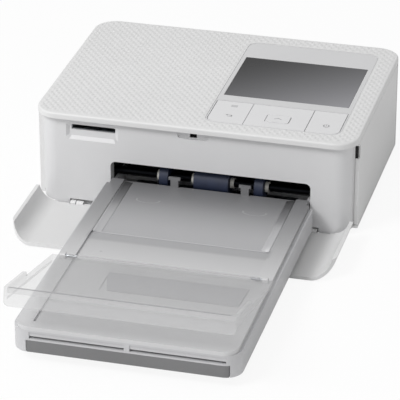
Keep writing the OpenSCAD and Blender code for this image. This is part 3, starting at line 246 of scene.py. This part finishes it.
# a darker plate in the deck's pocket under the flap, in front of its hinge
windowStyrene = milkyStyrene("darkerWindowStyrene", {
    "dark": "#bcbcbe", "light": "#c2c2c4", "toneMm": 50, "rough": (0.26, 0.38), "alpha": 0.9,
    "grainMm": 0.9, "grainDepthMm": 0.008})
thumbStyrene = milkyStyrene("pressedThumbStyrene", {
    "dark": "#a9a9ab", "light": "#b0b0b2", "toneMm": 20, "rough": (0.24, 0.36), "alpha": 0.85,
    "grainMm": 0.9, "grainDepthMm": 0.006})
flapStyrene = milkyStyrene("clearFlapStyrene", {
    "dark": "#cececf", "light": "#d6d6d7", "toneMm": 60, "rough": (0.16, 0.26), "alpha": 0.24,
    "grainMm": 0.9, "grainDepthMm": 0.006})
flapEdge = milkyStyrene("clearFlapEdge", {  # a clear sheet's cut edge looks darker than its face; painted here as a darker, nearly opaque strip
    "dark": "#8d8d8f", "light": "#97979a", "toneMm": 20, "rough": (0.2, 0.3), "alpha": 0.9,
    "grainMm": 0.9, "grainDepthMm": 0.004})


# Display window: smoked acrylic over a dark panel, with a painted reflection that makes it lighter towards
# its front right corner
def displayWindow(name, look):
    low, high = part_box("lcd_window")
    material, tree, place = startMaterial(name)
    axes = addNode(tree, "ShaderNodeSeparateXYZ", inputs={"Vector": place})
    across = addNode(tree, "ShaderNodeMapRange", {}, {
        "Value": axes.outputs["X"], "From Min": low.x, "From Max": high.x, "To Min": 0.0, "To Max": 0.5})
    along = addNode(tree, "ShaderNodeMapRange", {}, {
        "Value": axes.outputs["Y"], "From Min": high.y, "From Max": low.y, "To Min": 0.0, "To Max": 0.5})
    share = addNode(tree, "ShaderNodeMath", {"operation": "ADD"},
                    {0: across.outputs["Result"], 1: along.outputs["Result"]})
    curve = addNode(tree, "ShaderNodeMath", {"operation": "POWER"}, {0: share.outputs[0], 1: look["curve"]})
    # painted reflection: the colour ramps from dark to light across the window
    reflectionRamp = addNode(tree, "ShaderNodeMix", {"data_type": "RGBA"},
                   {0: curve.outputs[0], 6: toLinear(look["dark"]), 7: toLinear(look["light"])})
    shader = addNode(tree, "ShaderNodeBsdfPrincipled", {}, {
        "Base Color": reflectionRamp.outputs[2],
        "Roughness": roughMix(tree, place, look["rough"][0], look["rough"][1], 20),
        "IOR": 1.49,
        "Specular IOR Level": look["specular"],
        "Normal": grainBump(tree, place, 0.8, 0.002)})
    finishMaterial(tree, shader)
    return material


smokedAcrylic = displayWindow("smokedAcrylicWindow", {  # its coating takes off most of the glare; the glare left is a painted reflection in the base colour
    "dark": "#161617", "light": "#939397", "curve": 1.6, "rough": (0.2, 0.26), "specular": 0.12})


# Circuit board: green solder mask with copper tracks under it
def solderMask(name, look):
    material, tree, place = startMaterial(name)
    tracks = addNode(tree, "ShaderNodeTexBrick", {"offset": 0.5}, {
        "Vector": place, "Color1": toLinear(look["mask"]), "Color2": toLinear(look["maskTwo"]),
        "Mortar": toLinear(look["track"]), "Scale": 1000 / look["trackPitchMm"], "Mortar Size": 0.08})
    shader = addNode(tree, "ShaderNodeBsdfPrincipled", {}, {
        "Base Color": tracks.outputs["Color"],
        "Roughness": roughMix(tree, place, 0.3, 0.42, 6),
        "Normal": addNode(tree, "ShaderNodeBump", {}, {
            "Height": tracks.outputs["Fac"], "Distance": 0.03 * mm, "Strength": 0.5}).outputs["Normal"]})
    finishMaterial(tree, shader)
    return material


greenBoard = solderMask("greenSolderMask", {
    "mask": "#1b4a2c", "maskTwo": "#1f5533", "track": "#3b7a49", "trackPitchMm": 3.0})
print("materials made")


finishes = {
    "bottom_case": whiteAbs, "casing": whiteAbs, "top_cover": whiteAbs, "side_door": whiteAbs,
    # front_panel takes the shell plastic with painted shade
    "front_panel": shadedFrontAbs, "front_door": whiteAbs, "panel_bezel": bezelAbs, "menu_rocker": keyAbs,
    "four_way_pad": keyAbs, "ok_key": keyAbs, "power_key": keyAbs, "rubber_feet": blackRubber,
    "case_screws": zincSteel, "lcd_window": smokedAcrylic, "lcd_module": blackAbs, "key_board": greenBoard,
    "front_door_pins": groundSteel, "door_catch": blackAbs, "side_door_pins": groundSteel,
    "card_socket": zincSteel, "main_board": greenBoard, "dc_inlet": blackAbs, "chassis_plate": zincSteel,
    "left_frame": zincSteel, "right_frame": zincSteel, "feed_guide": blackAbs, "pickup_shaft": blackenedSteel,
    "pickup_rollers": rollerRubber, "shaft_collars": acetal, "pickup_gear": acetal, "idler_b": acetal,
    "idler_c": acetal, "transfer_gear": acetal, "idler_pins": groundSteel, "platen_shaft": groundSteel,
    "platen_sleeve": blackRubber, "platen_gear": acetal, "platen_bushes": acetal,
    "feed_roller": groundSteel, "feed_gear": acetal, "pinch_roller": blackRubber, "motor": zincSteel,
    "motor_pinion": pinionBrass, "spool_drive": acetal, "head_bridge": zincSteel,
    "thermal_head": finAluminium, "ribbon_case": cartridgeAbs, "supply_spool": ribbonFilm,
    "takeup_spool": ribbonFilm, "ribbon_film": ribbonFilm, "eject_lever": cartridgeAbs,
    "cassette_tray": trayStyrene, "cassette_bar": barAbs, "cassette_deck": deckStyrene,
    "cassette_lid": lidStyrene, "output_flap": flapStyrene, "flap_pins": groundSteel,
    "lift_plate": zincSteel,
}


def dress(piece, material):
    piece.data.materials.clear()
    piece.data.materials.append(material)


for name, node in nodes.items():
    dress(node, finishes[name])

# The same solids with their moulded edges rounded
softEdges = {  # node: (body, edge radius in mm)
    "front_panel": ("body", 0.35), "casing": ("body", 0.3), "side_door": ("cartridge_door", 0.35),
    "front_door": ("door", 0.5), "panel_bezel": ("body", 0.2), "menu_rocker": ("menu_key", 0.15),
    "four_way_pad": ("pad_key", 0.15), "ok_key": ("ok_button", 0.2), "power_key": ("power_button", 0.15),
    "cassette_tray": ("cassette", 0.4), "cassette_deck": ("cassette", 0.4), "cassette_lid": ("lid", 0.25),
    "output_flap": ("flap", 0.35), "cassette_bar": ("cassette", 0.4), "ribbon_case": ("cartridge", 0.35),
    "lcd_window": ("body", 0.15), "bottom_case": ("body", 0.3),
}
exactFaces = {"cassette_tray", "cassette_deck"}  # long flat walls, whose own normals are kept
softening = {"mergeMm": 0.002, "flatDeg": 0.6, "edgeDeg": 32, "segments": 2, "weight": 60}


def newPiece(name, mesh, body, material):
    data = bpy.data.meshes.new(name)
    mesh.to_mesh(data)
    mesh.free()
    piece = bpy.data.objects.new(name, data)
    bpy.context.scene.collection.objects.link(piece)
    dress(piece, material)
    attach(piece, body)


def softened(look, nodeName, body, radius):
    piece = bpy.data.objects.new(nodeName + "_soft", nodes[nodeName].data.copy())
    bpy.context.scene.collection.objects.link(piece)
    mesh = bmesh.new()
    mesh.from_mesh(piece.data)
    bmesh.ops.remove_doubles(mesh, verts=mesh.verts, dist=look["mergeMm"] * mm)
    bmesh.ops.dissolve_limit(mesh, angle_limit=math.radians(look["flatDeg"]), verts=mesh.verts,
                             edges=mesh.edges, delimit=set())
    mesh.to_mesh(piece.data)
    mesh.free()
    if piece.data.has_custom_normals:
        piece.data.attributes.remove(piece.data.attributes["custom_normal"])
    bevel = piece.modifiers.new("edge", "BEVEL")
    bevel.width = radius * mm
    bevel.segments = look["segments"]
    bevel.limit_method = "ANGLE"
    bevel.angle_limit = math.radians(look["edgeDeg"])
    bevel.use_clamp_overlap = True
    bevel.harden_normals = nodeName in exactFaces
    for face in piece.data.polygons:
        face.use_smooth = True
    if nodeName not in exactFaces:
        smooth = piece.modifiers.new("normals", "WEIGHTED_NORMAL")
        smooth.keep_sharp = True
        smooth.weight = look["weight"]
    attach(piece, body)
    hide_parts(nodeName)


for name, (body, radius) in softEdges.items():
    softened(softening, name, body, radius)
print("edges softened")


# Solid prism over a flat outline that runs counter-clockwise
def prism(mesh, outline, low, high):
    lower, upper = [[mesh.verts.new((*point, z)) for point in outline] for z in (low, high)]
    for i in range(len(outline)):
        j = (i + 1) % len(outline)
        mesh.faces.new((lower[i], lower[j], upper[j], upper[i]))
    mesh.faces.new(lower[::-1])
    mesh.faces.new(upper)


relief = {  # staggered low lozenges, moulded into the whole top outside the control panel
    "acrossMm": 4.2, "alongMm": 5.2, "heightMm": 0.42, "gridMm": 0.5,
    "valley": 0.04, "crown": 0.7,  # heights of the wave where a lozenge starts and where it flattens
    "marginMm": 1.4, "fadeMm": 1.2, "rimShare": 0.4,  # smooth border, and the slope into it
    "coverCornerMm": 13, "bezelCornerMm": 6, "bezelGapMm": 0.9, "groundMm": 0.05, "sinkMm": 0.03,
}
coverLow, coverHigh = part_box("top_cover")
bezelLow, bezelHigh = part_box("panel_bezel")


# How far a point lies inside a rectangle with round corners, in metres
def insideRounded(x, y, low, high, radius):
    dx = abs(x - (low.x + high.x) / 2) - ((high.x - low.x) / 2 - radius)
    dy = abs(y - (low.y + high.y) / 2) - ((high.y - low.y) / 2 - radius)
    return radius - math.hypot(max(dx, 0), max(dy, 0)) - min(max(dx, dy), 0)


def coverRelief(look):
    step = look["gridMm"] * mm
    columns = int((coverHigh.x - coverLow.x) / step) + 1
    rows = int((coverHigh.y - coverLow.y) / step) + 1
    mesh = bmesh.new()
    grid = {}
    for i in range(columns):
        for j in range(rows):
            x, y = coverLow.x + i * step, coverLow.y + j * step
            bezelEdge = insideRounded(x, y, bezelLow, bezelHigh, look["bezelCornerMm"] * mm)
            edge = min(insideRounded(x, y, coverLow, coverHigh, look["coverCornerMm"] * mm),
                       look["bezelGapMm"] * mm - bezelEdge)
            share = (edge / mm - look["marginMm"]) / look["fadeMm"]
            if share < -look["rimShare"]:
                continue
            share = min(max(share, 0.0), 1.0)
            wave = math.cos(2 * math.pi * x / (look["acrossMm"] * mm))
            wave *= math.cos(2 * math.pi * y / (look["alongMm"] * mm))
            dome = min(max((wave - look["valley"]) / (look["crown"] - look["valley"]), 0.0), 1.0)
            dome *= dome * (3 - 2 * dome)
            height = (look["groundMm"] + look["heightMm"] * dome) * share - look["sinkMm"] * (1 - share)
            grid[i, j] = mesh.verts.new((x, y, coverHigh.z + height * mm))
    for i, j in list(grid):
        corners = [grid.get(k) for k in ((i, j), (i + 1, j), (i + 1, j + 1), (i, j + 1))]
        if None not in corners:
            mesh.faces.new(corners).smooth = True
    newPiece("cover_relief", mesh, "body", whiteAbs)


coverRelief(relief)
print("cover relief made")


# Counter-clockwise outline of a rectangle with round corners
def roundedOutline(x0, x1, y0, y1, radius, steps=6):
    points = []
    for cx, cy, start in ((x1 - radius, y1 - radius, 0), (x0 + radius, y1 - radius, 90),
                          (x0 + radius, y0 + radius, 180), (x1 - radius, y0 + radius, 270)):
        for i in range(steps + 1):
            angle = math.radians(start + 90 * i / steps)
            points.append((cx + radius * math.cos(angle), cy + radius * math.sin(angle)))
    return points


keySkirts = {  # lips low on the keys that fill most of the seam, so little dark shows through it
    "lipMm": 0.2, "topMm": 0.5, "tallMm": 0.35, "cornerMm": 0.2, "okCornerMm": 1.2,
    "pieces": {  # node: (body, lips on the left, right, front and back sides)
        "menu_rocker": ("menu_key", (0, 1, 0, 1)), "four_way_pad": ("pad_key", (0, 0, 1, 1)),
        "ok_key": ("ok_button", (1, 1, 1, 1)), "power_key": ("power_button", (0, 0, 0, 1))},
}


def makeKeySkirts(look):
    lip = look["lipMm"] * mm
    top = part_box("lcd_window")[1].z - look["topMm"] * mm
    for name, (body, (left, right, front, back)) in look["pieces"].items():
        low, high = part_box(name)
        corner = look["okCornerMm" if name == "ok_key" else "cornerMm"] * mm
        outline = roundedOutline(low.x + (-lip if left else lip), high.x + (lip if right else -lip),
                                 low.y + (-lip if front else lip), high.y + (lip if back else -lip), corner)
        mesh = bmesh.new()
        prism(mesh, outline, top - look["tallMm"] * mm, top)
        newPiece(name + "_skirt", mesh, body, keyAbs)


makeKeySkirts(keySkirts)


def arc(cx, cy, radius, start, end, steps):
    angles = [math.radians(start + (end - start) * i / steps) for i in range(steps + 1)]
    return [(cx + radius * math.cos(angle), cy + radius * math.sin(angle)) for angle in angles]


symbols = {  # pad-printed key symbols: (place from the key's middle, points of the line), in mm
    "proudMm": 0.05, "fineMm": 0.336, "boldMm": 0.42,
    "menu_symbols": {"node": "menu_rocker", "body": "menu_key", "line": "fineMm", "strokes": [
        *[((0.6, 8.0), [(-1.7, y), (1.7, y)]) for y in (-0.95, 0, 0.95)],  # three bars
        ((0.6, -4.6), [(-1.6, 0.8), *arc(0.8, 0, 0.8, 90, -90, 10), (-0.6, -0.8)]),  # return arrow
        ((0.6, -4.6), [(-1.7, 0.8), (-0.9, 0.1)]), ((0.6, -4.6), [(-1.7, 0.8), (-0.9, 1.5)])]},
    "ok_symbol": {"node": "ok_key", "body": "ok_button", "line": "boldMm", "strokes": [
        ((0, 0), [(-1.9, -0.5), (0, 0.7), (1.9, -0.5)])]},  # chevron
    "power_symbol": {"node": "power_key", "body": "power_button", "line": "fineMm", "strokes": [
        ((0.8, -4.2), arc(0, 0, 1.5, 125, 415, 18)), ((0.8, -4.2), [(0, 0.4), (0, 1.9)])]},
}


# A flat stroke of the given width along a line of points
def stroke(mesh, points, width, low, high):
    for a, b in zip(points, points[1:]):
        a, b = Vector(a), Vector(b)
        along = (b - a).normalized() * width / 2
        side = Vector((-along.y, along.x))
        outline = [a - along - side, b + along - side, b + along + side, a - along + side]
        prism(mesh, [(p.x, p.y) for p in outline], low, high)


def makeSymbols(look):
    proud = look["proudMm"] * mm
    for name in ("menu_symbols", "ok_symbol", "power_symbol"):
        symbol = look[name]
        low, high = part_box(symbol["node"])
        mesh = bmesh.new()
        for (atX, atY), points in symbol["strokes"]:
            x, y = (low.x + high.x) / 2 + atX * mm, (low.y + high.y) / 2 + atY * mm
            stroke(mesh, [(x + px * mm, y + py * mm) for px, py in points], look[symbol["line"]] * mm,
                   high.z - proud, high.z + proud)
        newPiece(name, mesh, symbol["body"], printInk)


makeSymbols(symbols)


def boxPiece(name, corners, body, material):
    (x0, x1), (y0, y1), (z0, z1) = [[value * mm for value in pair] for pair in corners]
    mesh = bmesh.new()
    prism(mesh, [(x0, y0), (x1, y0), (x1, y1), (x0, y1)], z0, z1)
    newPiece(name, mesh, body, material)


# Strips that back the narrow seams of the shell and of the front door, and a black strip at the foot of the
# finger notch, painted shade for the slit's depth. In mm: sideways inwards from the body's side, along from
# the side walls' front ends or, for the seals, from the body's front face, and heights from the table.
seams = {
    "sideFront": 11.5,
    "left": (2.15, 2.95), "right": (2.35, 3.1), "along": (-0.25, 2.0), "height": (4.2, 53.9),
    "notch": {"sideways": (0.9, 2.0), "along": (0.4, 2.65), "height": (44.7, 52.1)},
    "seals": {  # name: (half widths, along, height)
        "seal_": ((71.6, 80.0), (2.5, 3.3), (0.9, 2.28)),
        "hinge_seal_": ((56.0, 80.0), (5.05, 5.6), (0.5, 2.4))},
}


def makeSeams(look):
    front, half = frontY / mm, coverHigh.x / mm
    start = front + look["sideFront"]

    def strip(name, side, sideways, along, height, body, material):
        ends = sorted(side * (half - value) for value in sideways)
        boxPiece(name, (ends, [start + value for value in along], height), body, material)

    strip("seam_left", -1, look["left"], look["along"], look["height"], "body", whiteAbs)
    strip("seam_right", 1, look["right"], look["along"], look["height"], "body", whiteAbs)
    notch = look["notch"]
    # black strip: painted shade in the finger notch's slit
    strip("notch_shade_strip", 1, notch["sideways"], notch["along"], notch["height"], "cartridge_door", blackAbs)
    for side, end in ((-1, "left"), (1, "right")):
        for name, (halves, along, height) in look["seals"].items():
            boxPiece(name + end, (sorted(side * value for value in halves),
                                  [front + value for value in along], height), "body", shadedFrontAbs)


makeSeams(seams)

deckLow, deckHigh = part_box("cassette_deck")
mouthX = (deckLow.x + deckHigh.x) / 2  # the cassette's middle

# In mm: half widths from the cassette's middle, along from the body's front face, heights from the table
cassette = {
    "slope": {"half": (43.7, 48.65), "along": (-59.0, 2.2), "foot": 18.6, "low": 18.93, "rise": 0.85,
              "steps": 6},
    "railLip": {"half": (48.83, 49.15), "along": (-60.4, 3.1), "height": (17.8, 19.88)},
    "deckLip": {"half": (-48.7, 48.7), "along": (-59.65, -59.35), "height": (17.8, 18.84)},
    "window": {"outline": [(-22.8, -119.5), (46.6, -119.5), (48.0, -99.0), (-29.1, -99.0)],
               "height": (18.42, 18.84)},
    "thumbs": {"middles": (-30.0, 30.0), "along": -16.0, "radius": 6.9, "squash": 0.5, "flat": 0.9,
               "height": (18.45, 18.83)},
}


# A place in the cassette's own mm, in the scene's metres
def onCassette(x, y):
    return mouthX + x * mm, frontY + y * mm


# Wedge along the lid's side that slopes from the rail's top down to the sheet; side is -1 or 1
def makeSlope(name, look, side):
    inner, outer = look["half"]
    profile = [(outer, look["foot"])]
    for i in range(look["steps"] + 1):
        share = i / look["steps"]
        profile.append((outer - (outer - inner) * share, look["low"] + look["rise"] * (1 - share) ** 2))
    profile.append((inner, look["foot"]))
    mesh = bmesh.new()
    ends = [[mesh.verts.new((*onCassette(side * x, y), z * mm)) for x, z in profile] for y in look["along"]]
    for i in range(len(profile)):
        j = (i + 1) % len(profile)
        mesh.faces.new((ends[0][i], ends[1][i], ends[1][j], ends[0][j]))
    mesh.faces.new(ends[0])
    mesh.faces.new(ends[1][::-1])
    bmesh.ops.recalc_face_normals(mesh, faces=mesh.faces)
    for face in mesh.faces:
        face.smooth = abs(face.normal.y) < 0.5
    newPiece(name, mesh, "lid", lidStyrene)


def makeCassetteDetails(look):
    def flat(name, outlines, height, body, material):
        mesh = bmesh.new()
        for outline in outlines:
            prism(mesh, [onCassette(x, y) for x, y in outline], height[0] * mm, height[1] * mm)
        newPiece(name, mesh, body, material)

    def rectangle(ends, along):
        return [(ends[0], along[0]), (ends[1], along[0]), (ends[1], along[1]), (ends[0], along[1])]

    for side, end in ((-1, "left"), (1, "right")):
        makeSlope("lid_slope_" + end, look["slope"], side)
        lip = look["railLip"]
        flat("rail_lip_" + end, [rectangle(sorted(side * x for x in lip["half"]), lip["along"])],
             lip["height"], "cassette", deckStyrene)
    lip = look["deckLip"]
    flat("deck_lip", [rectangle(lip["half"], lip["along"])], lip["height"], "cassette", deckStyrene)
    flat("deck_window", [look["window"]["outline"]], look["window"]["height"], "cassette",
         windowStyrene)
    thumbs = look["thumbs"]
    radius, y = thumbs["radius"], thumbs["along"]
    bow = [(px, py * thumbs["squash"]) for px, py in arc(0, 0, radius, 180, 360, 15)]
    marks = [[(x - radius, y + thumbs["flat"]), *[(x + px, y + py) for px, py in bow],
              (x + radius, y + thumbs["flat"])] for x in thumbs["middles"]]
    flat("thumb_marks", marks, thumbs["height"], "lid", thumbStyrene)


makeCassetteDetails(cassette)

flapRim = {  # thin dark line of painted shade, as a clear sheet's moulded rim shows it, in the flap's own level frame, mm
    "hingeY": -93.0, "hingeZ": 21.4, "tiltDeg": 13.2, "long": 84.0, "halfWide": 59.5, "cornerMm": 2.6,
    "wallTop": 4.5, "wideMm": 0.42, "deepMm": 0.252, "proudMm": 0.02,
}


def flapPoint(look, x, y, z):
    turn = math.radians(look["tiltDeg"])
    return (mouthX + x * mm, frontY + (look["hingeY"] + y * math.cos(turn) + z * math.sin(turn)) * mm,
            (look["hingeZ"] - y * math.sin(turn) + z * math.cos(turn)) * mm)


def makeFlapRim(look):
    half = look["halfWide"] - look["cornerMm"]
    mesh = bmesh.new()
    y0, y1 = -look["long"] - look["proudMm"], -look["long"] + look["wideMm"]
    z1, z0 = look["wallTop"] + look["proudMm"], look["wallTop"] - look["deepMm"]
    corners = [mesh.verts.new(flapPoint(look, x, y, z)) for x in (-half, half)
               for y, z in ((y0, z0), (y1, z0), (y1, z1), (y0, z1))]
    for i in range(4):
        j = (i + 1) % 4
        mesh.faces.new((corners[i], corners[j], corners[4 + j], corners[4 + i]))
    mesh.faces.new(corners[:4][::-1])
    mesh.faces.new(corners[4:])
    bmesh.ops.recalc_face_normals(mesh, faces=mesh.faces)
    newPiece("flap_rim", mesh, "flap", flapEdge)


makeFlapRim(flapRim)
print("small pieces made")

camera = {  # solved from the photograph's straight edges, in millimetres from the front's outline plane
    "place": (339.3, -1271.4, 684.2), "azimuth": -14.964, "elevation": 27.005, "roll": -0.165,
    "focalPixels": 2676.9, "framePixels": 400, "middle": (190.7, 200.2), "sensorMm": 36, "clipEnd": 20,
}


def makeCamera(look):
    azimuth, elevation = math.radians(look["azimuth"]), math.radians(look["elevation"])
    forward = Vector((math.sin(azimuth) * math.cos(elevation), math.cos(azimuth) * math.cos(elevation),
                      -math.sin(elevation)))
    right = Vector((math.cos(azimuth), -math.sin(azimuth), 0))
    up = right.cross(forward)
    turn = Matrix.Rotation(-math.radians(look["roll"]), 3, forward)
    right, up = turn @ right, turn @ up
    data = bpy.data.cameras.new("camera")
    data.sensor_width = look["sensorMm"]
    data.lens = look["focalPixels"] / look["framePixels"] * data.sensor_width
    data.shift_x = 0.5 - look["middle"][0] / look["framePixels"]
    data.shift_y = look["middle"][1] / look["framePixels"] - 0.5
    data.clip_end = look["clipEnd"]
    item = bpy.data.objects.new("camera", data)
    bpy.context.scene.collection.objects.link(item)
    basis = Matrix((right, up, -forward)).transposed().to_4x4()
    place = Vector(look["place"]) * mm + Vector((0, frontY, 0))
    item.matrix_world = Matrix.Translation(place) @ basis
    bpy.context.scene.camera = item


makeCamera(camera)

studio = {  # white paper, an even sky and one soft lamp from the front left
    "floorHex": "#f4f4f4", "floorPaleHex": "#fafafa", "floorCloudMm": 400, "floorSize": 12, "floorZ": -0.0004,
    "floorGlow": 0.9, "skyStrength": 0.53, "skySeen": 1.0,
    "keyPlace": (-0.8, -0.88, 1.27), "keyAim": (0, 0, 0.03), "keyWatts": 17.0, "keySize": 0.6,
}


def makeFloor(look):
    bpy.ops.mesh.primitive_plane_add(size=look["floorSize"], location=(0, 0, look["floorZ"]))
    floor = bpy.context.object
    floor.name = "floor"
    material, tree, place = startMaterial("studioPaper")
    paper = addNode(tree, "ShaderNodeBsdfDiffuse", {}, {
        "Color": toneMix(tree, place, look["floorHex"], look["floorPaleHex"], look["floorCloudMm"])})
    glow = addNode(tree, "ShaderNodeEmission", {}, {"Color": (1, 1, 1, 1), "Strength": 1.0})
    rays = addNode(tree, "ShaderNodeLightPath")
    share = addNode(tree, "ShaderNodeMath", {"operation": "MULTIPLY"},
                    {0: rays.outputs["Is Camera Ray"], 1: look["floorGlow"]})
    mixed = addNode(tree, "ShaderNodeMixShader", {}, {0: share.outputs[0], 1: paper.outputs[0],
                                                      2: glow.outputs[0]})
    finishMaterial(tree, mixed)
    dress(floor, material)


def makeKeyLight(look):
    data = bpy.data.lights.new("key", "AREA")
    data.shape = "SQUARE"
    data.size = look["keySize"]
    data.energy = look["keyWatts"]
    item = bpy.data.objects.new("key", data)
    bpy.context.scene.collection.objects.link(item)
    item.location = look["keyPlace"]
    away = Vector(look["keyAim"]) - Vector(look["keyPlace"])
    item.rotation_euler = away.to_track_quat("-Z", "Y").to_euler()


def makeSky(look):
    world = bpy.data.worlds.new("studio")
    bpy.context.scene.world = world
    world.use_nodes = True
    tree = world.node_tree
    tree.nodes.clear()
    rays = addNode(tree, "ShaderNodeLightPath")
    seen = addNode(tree, "ShaderNodeMath", {"operation": "MAXIMUM"},
                   {0: rays.outputs["Is Camera Ray"], 1: rays.outputs["Is Glossy Ray"]})
    seen = addNode(tree, "ShaderNodeMath", {"operation": "MAXIMUM"},
                   {0: seen.outputs[0], 1: rays.outputs["Is Transmission Ray"]})
    strength = addNode(tree, "ShaderNodeMapRange", {}, {
        "Value": seen.outputs[0], "To Min": look["skyStrength"], "To Max": look["skySeen"]})
    sky = addNode(tree, "ShaderNodeBackground", {}, {"Color": (1, 1, 1, 1),
                                                     "Strength": strength.outputs["Result"]})
    addNode(tree, "ShaderNodeOutputWorld", {}, {"Surface": sky.outputs[0]})


makeFloor(studio)
makeSky(studio)
makeKeyLight(studio)
bpy.context.scene.view_settings.view_transform = "Standard"
print("camera, floor and light made")
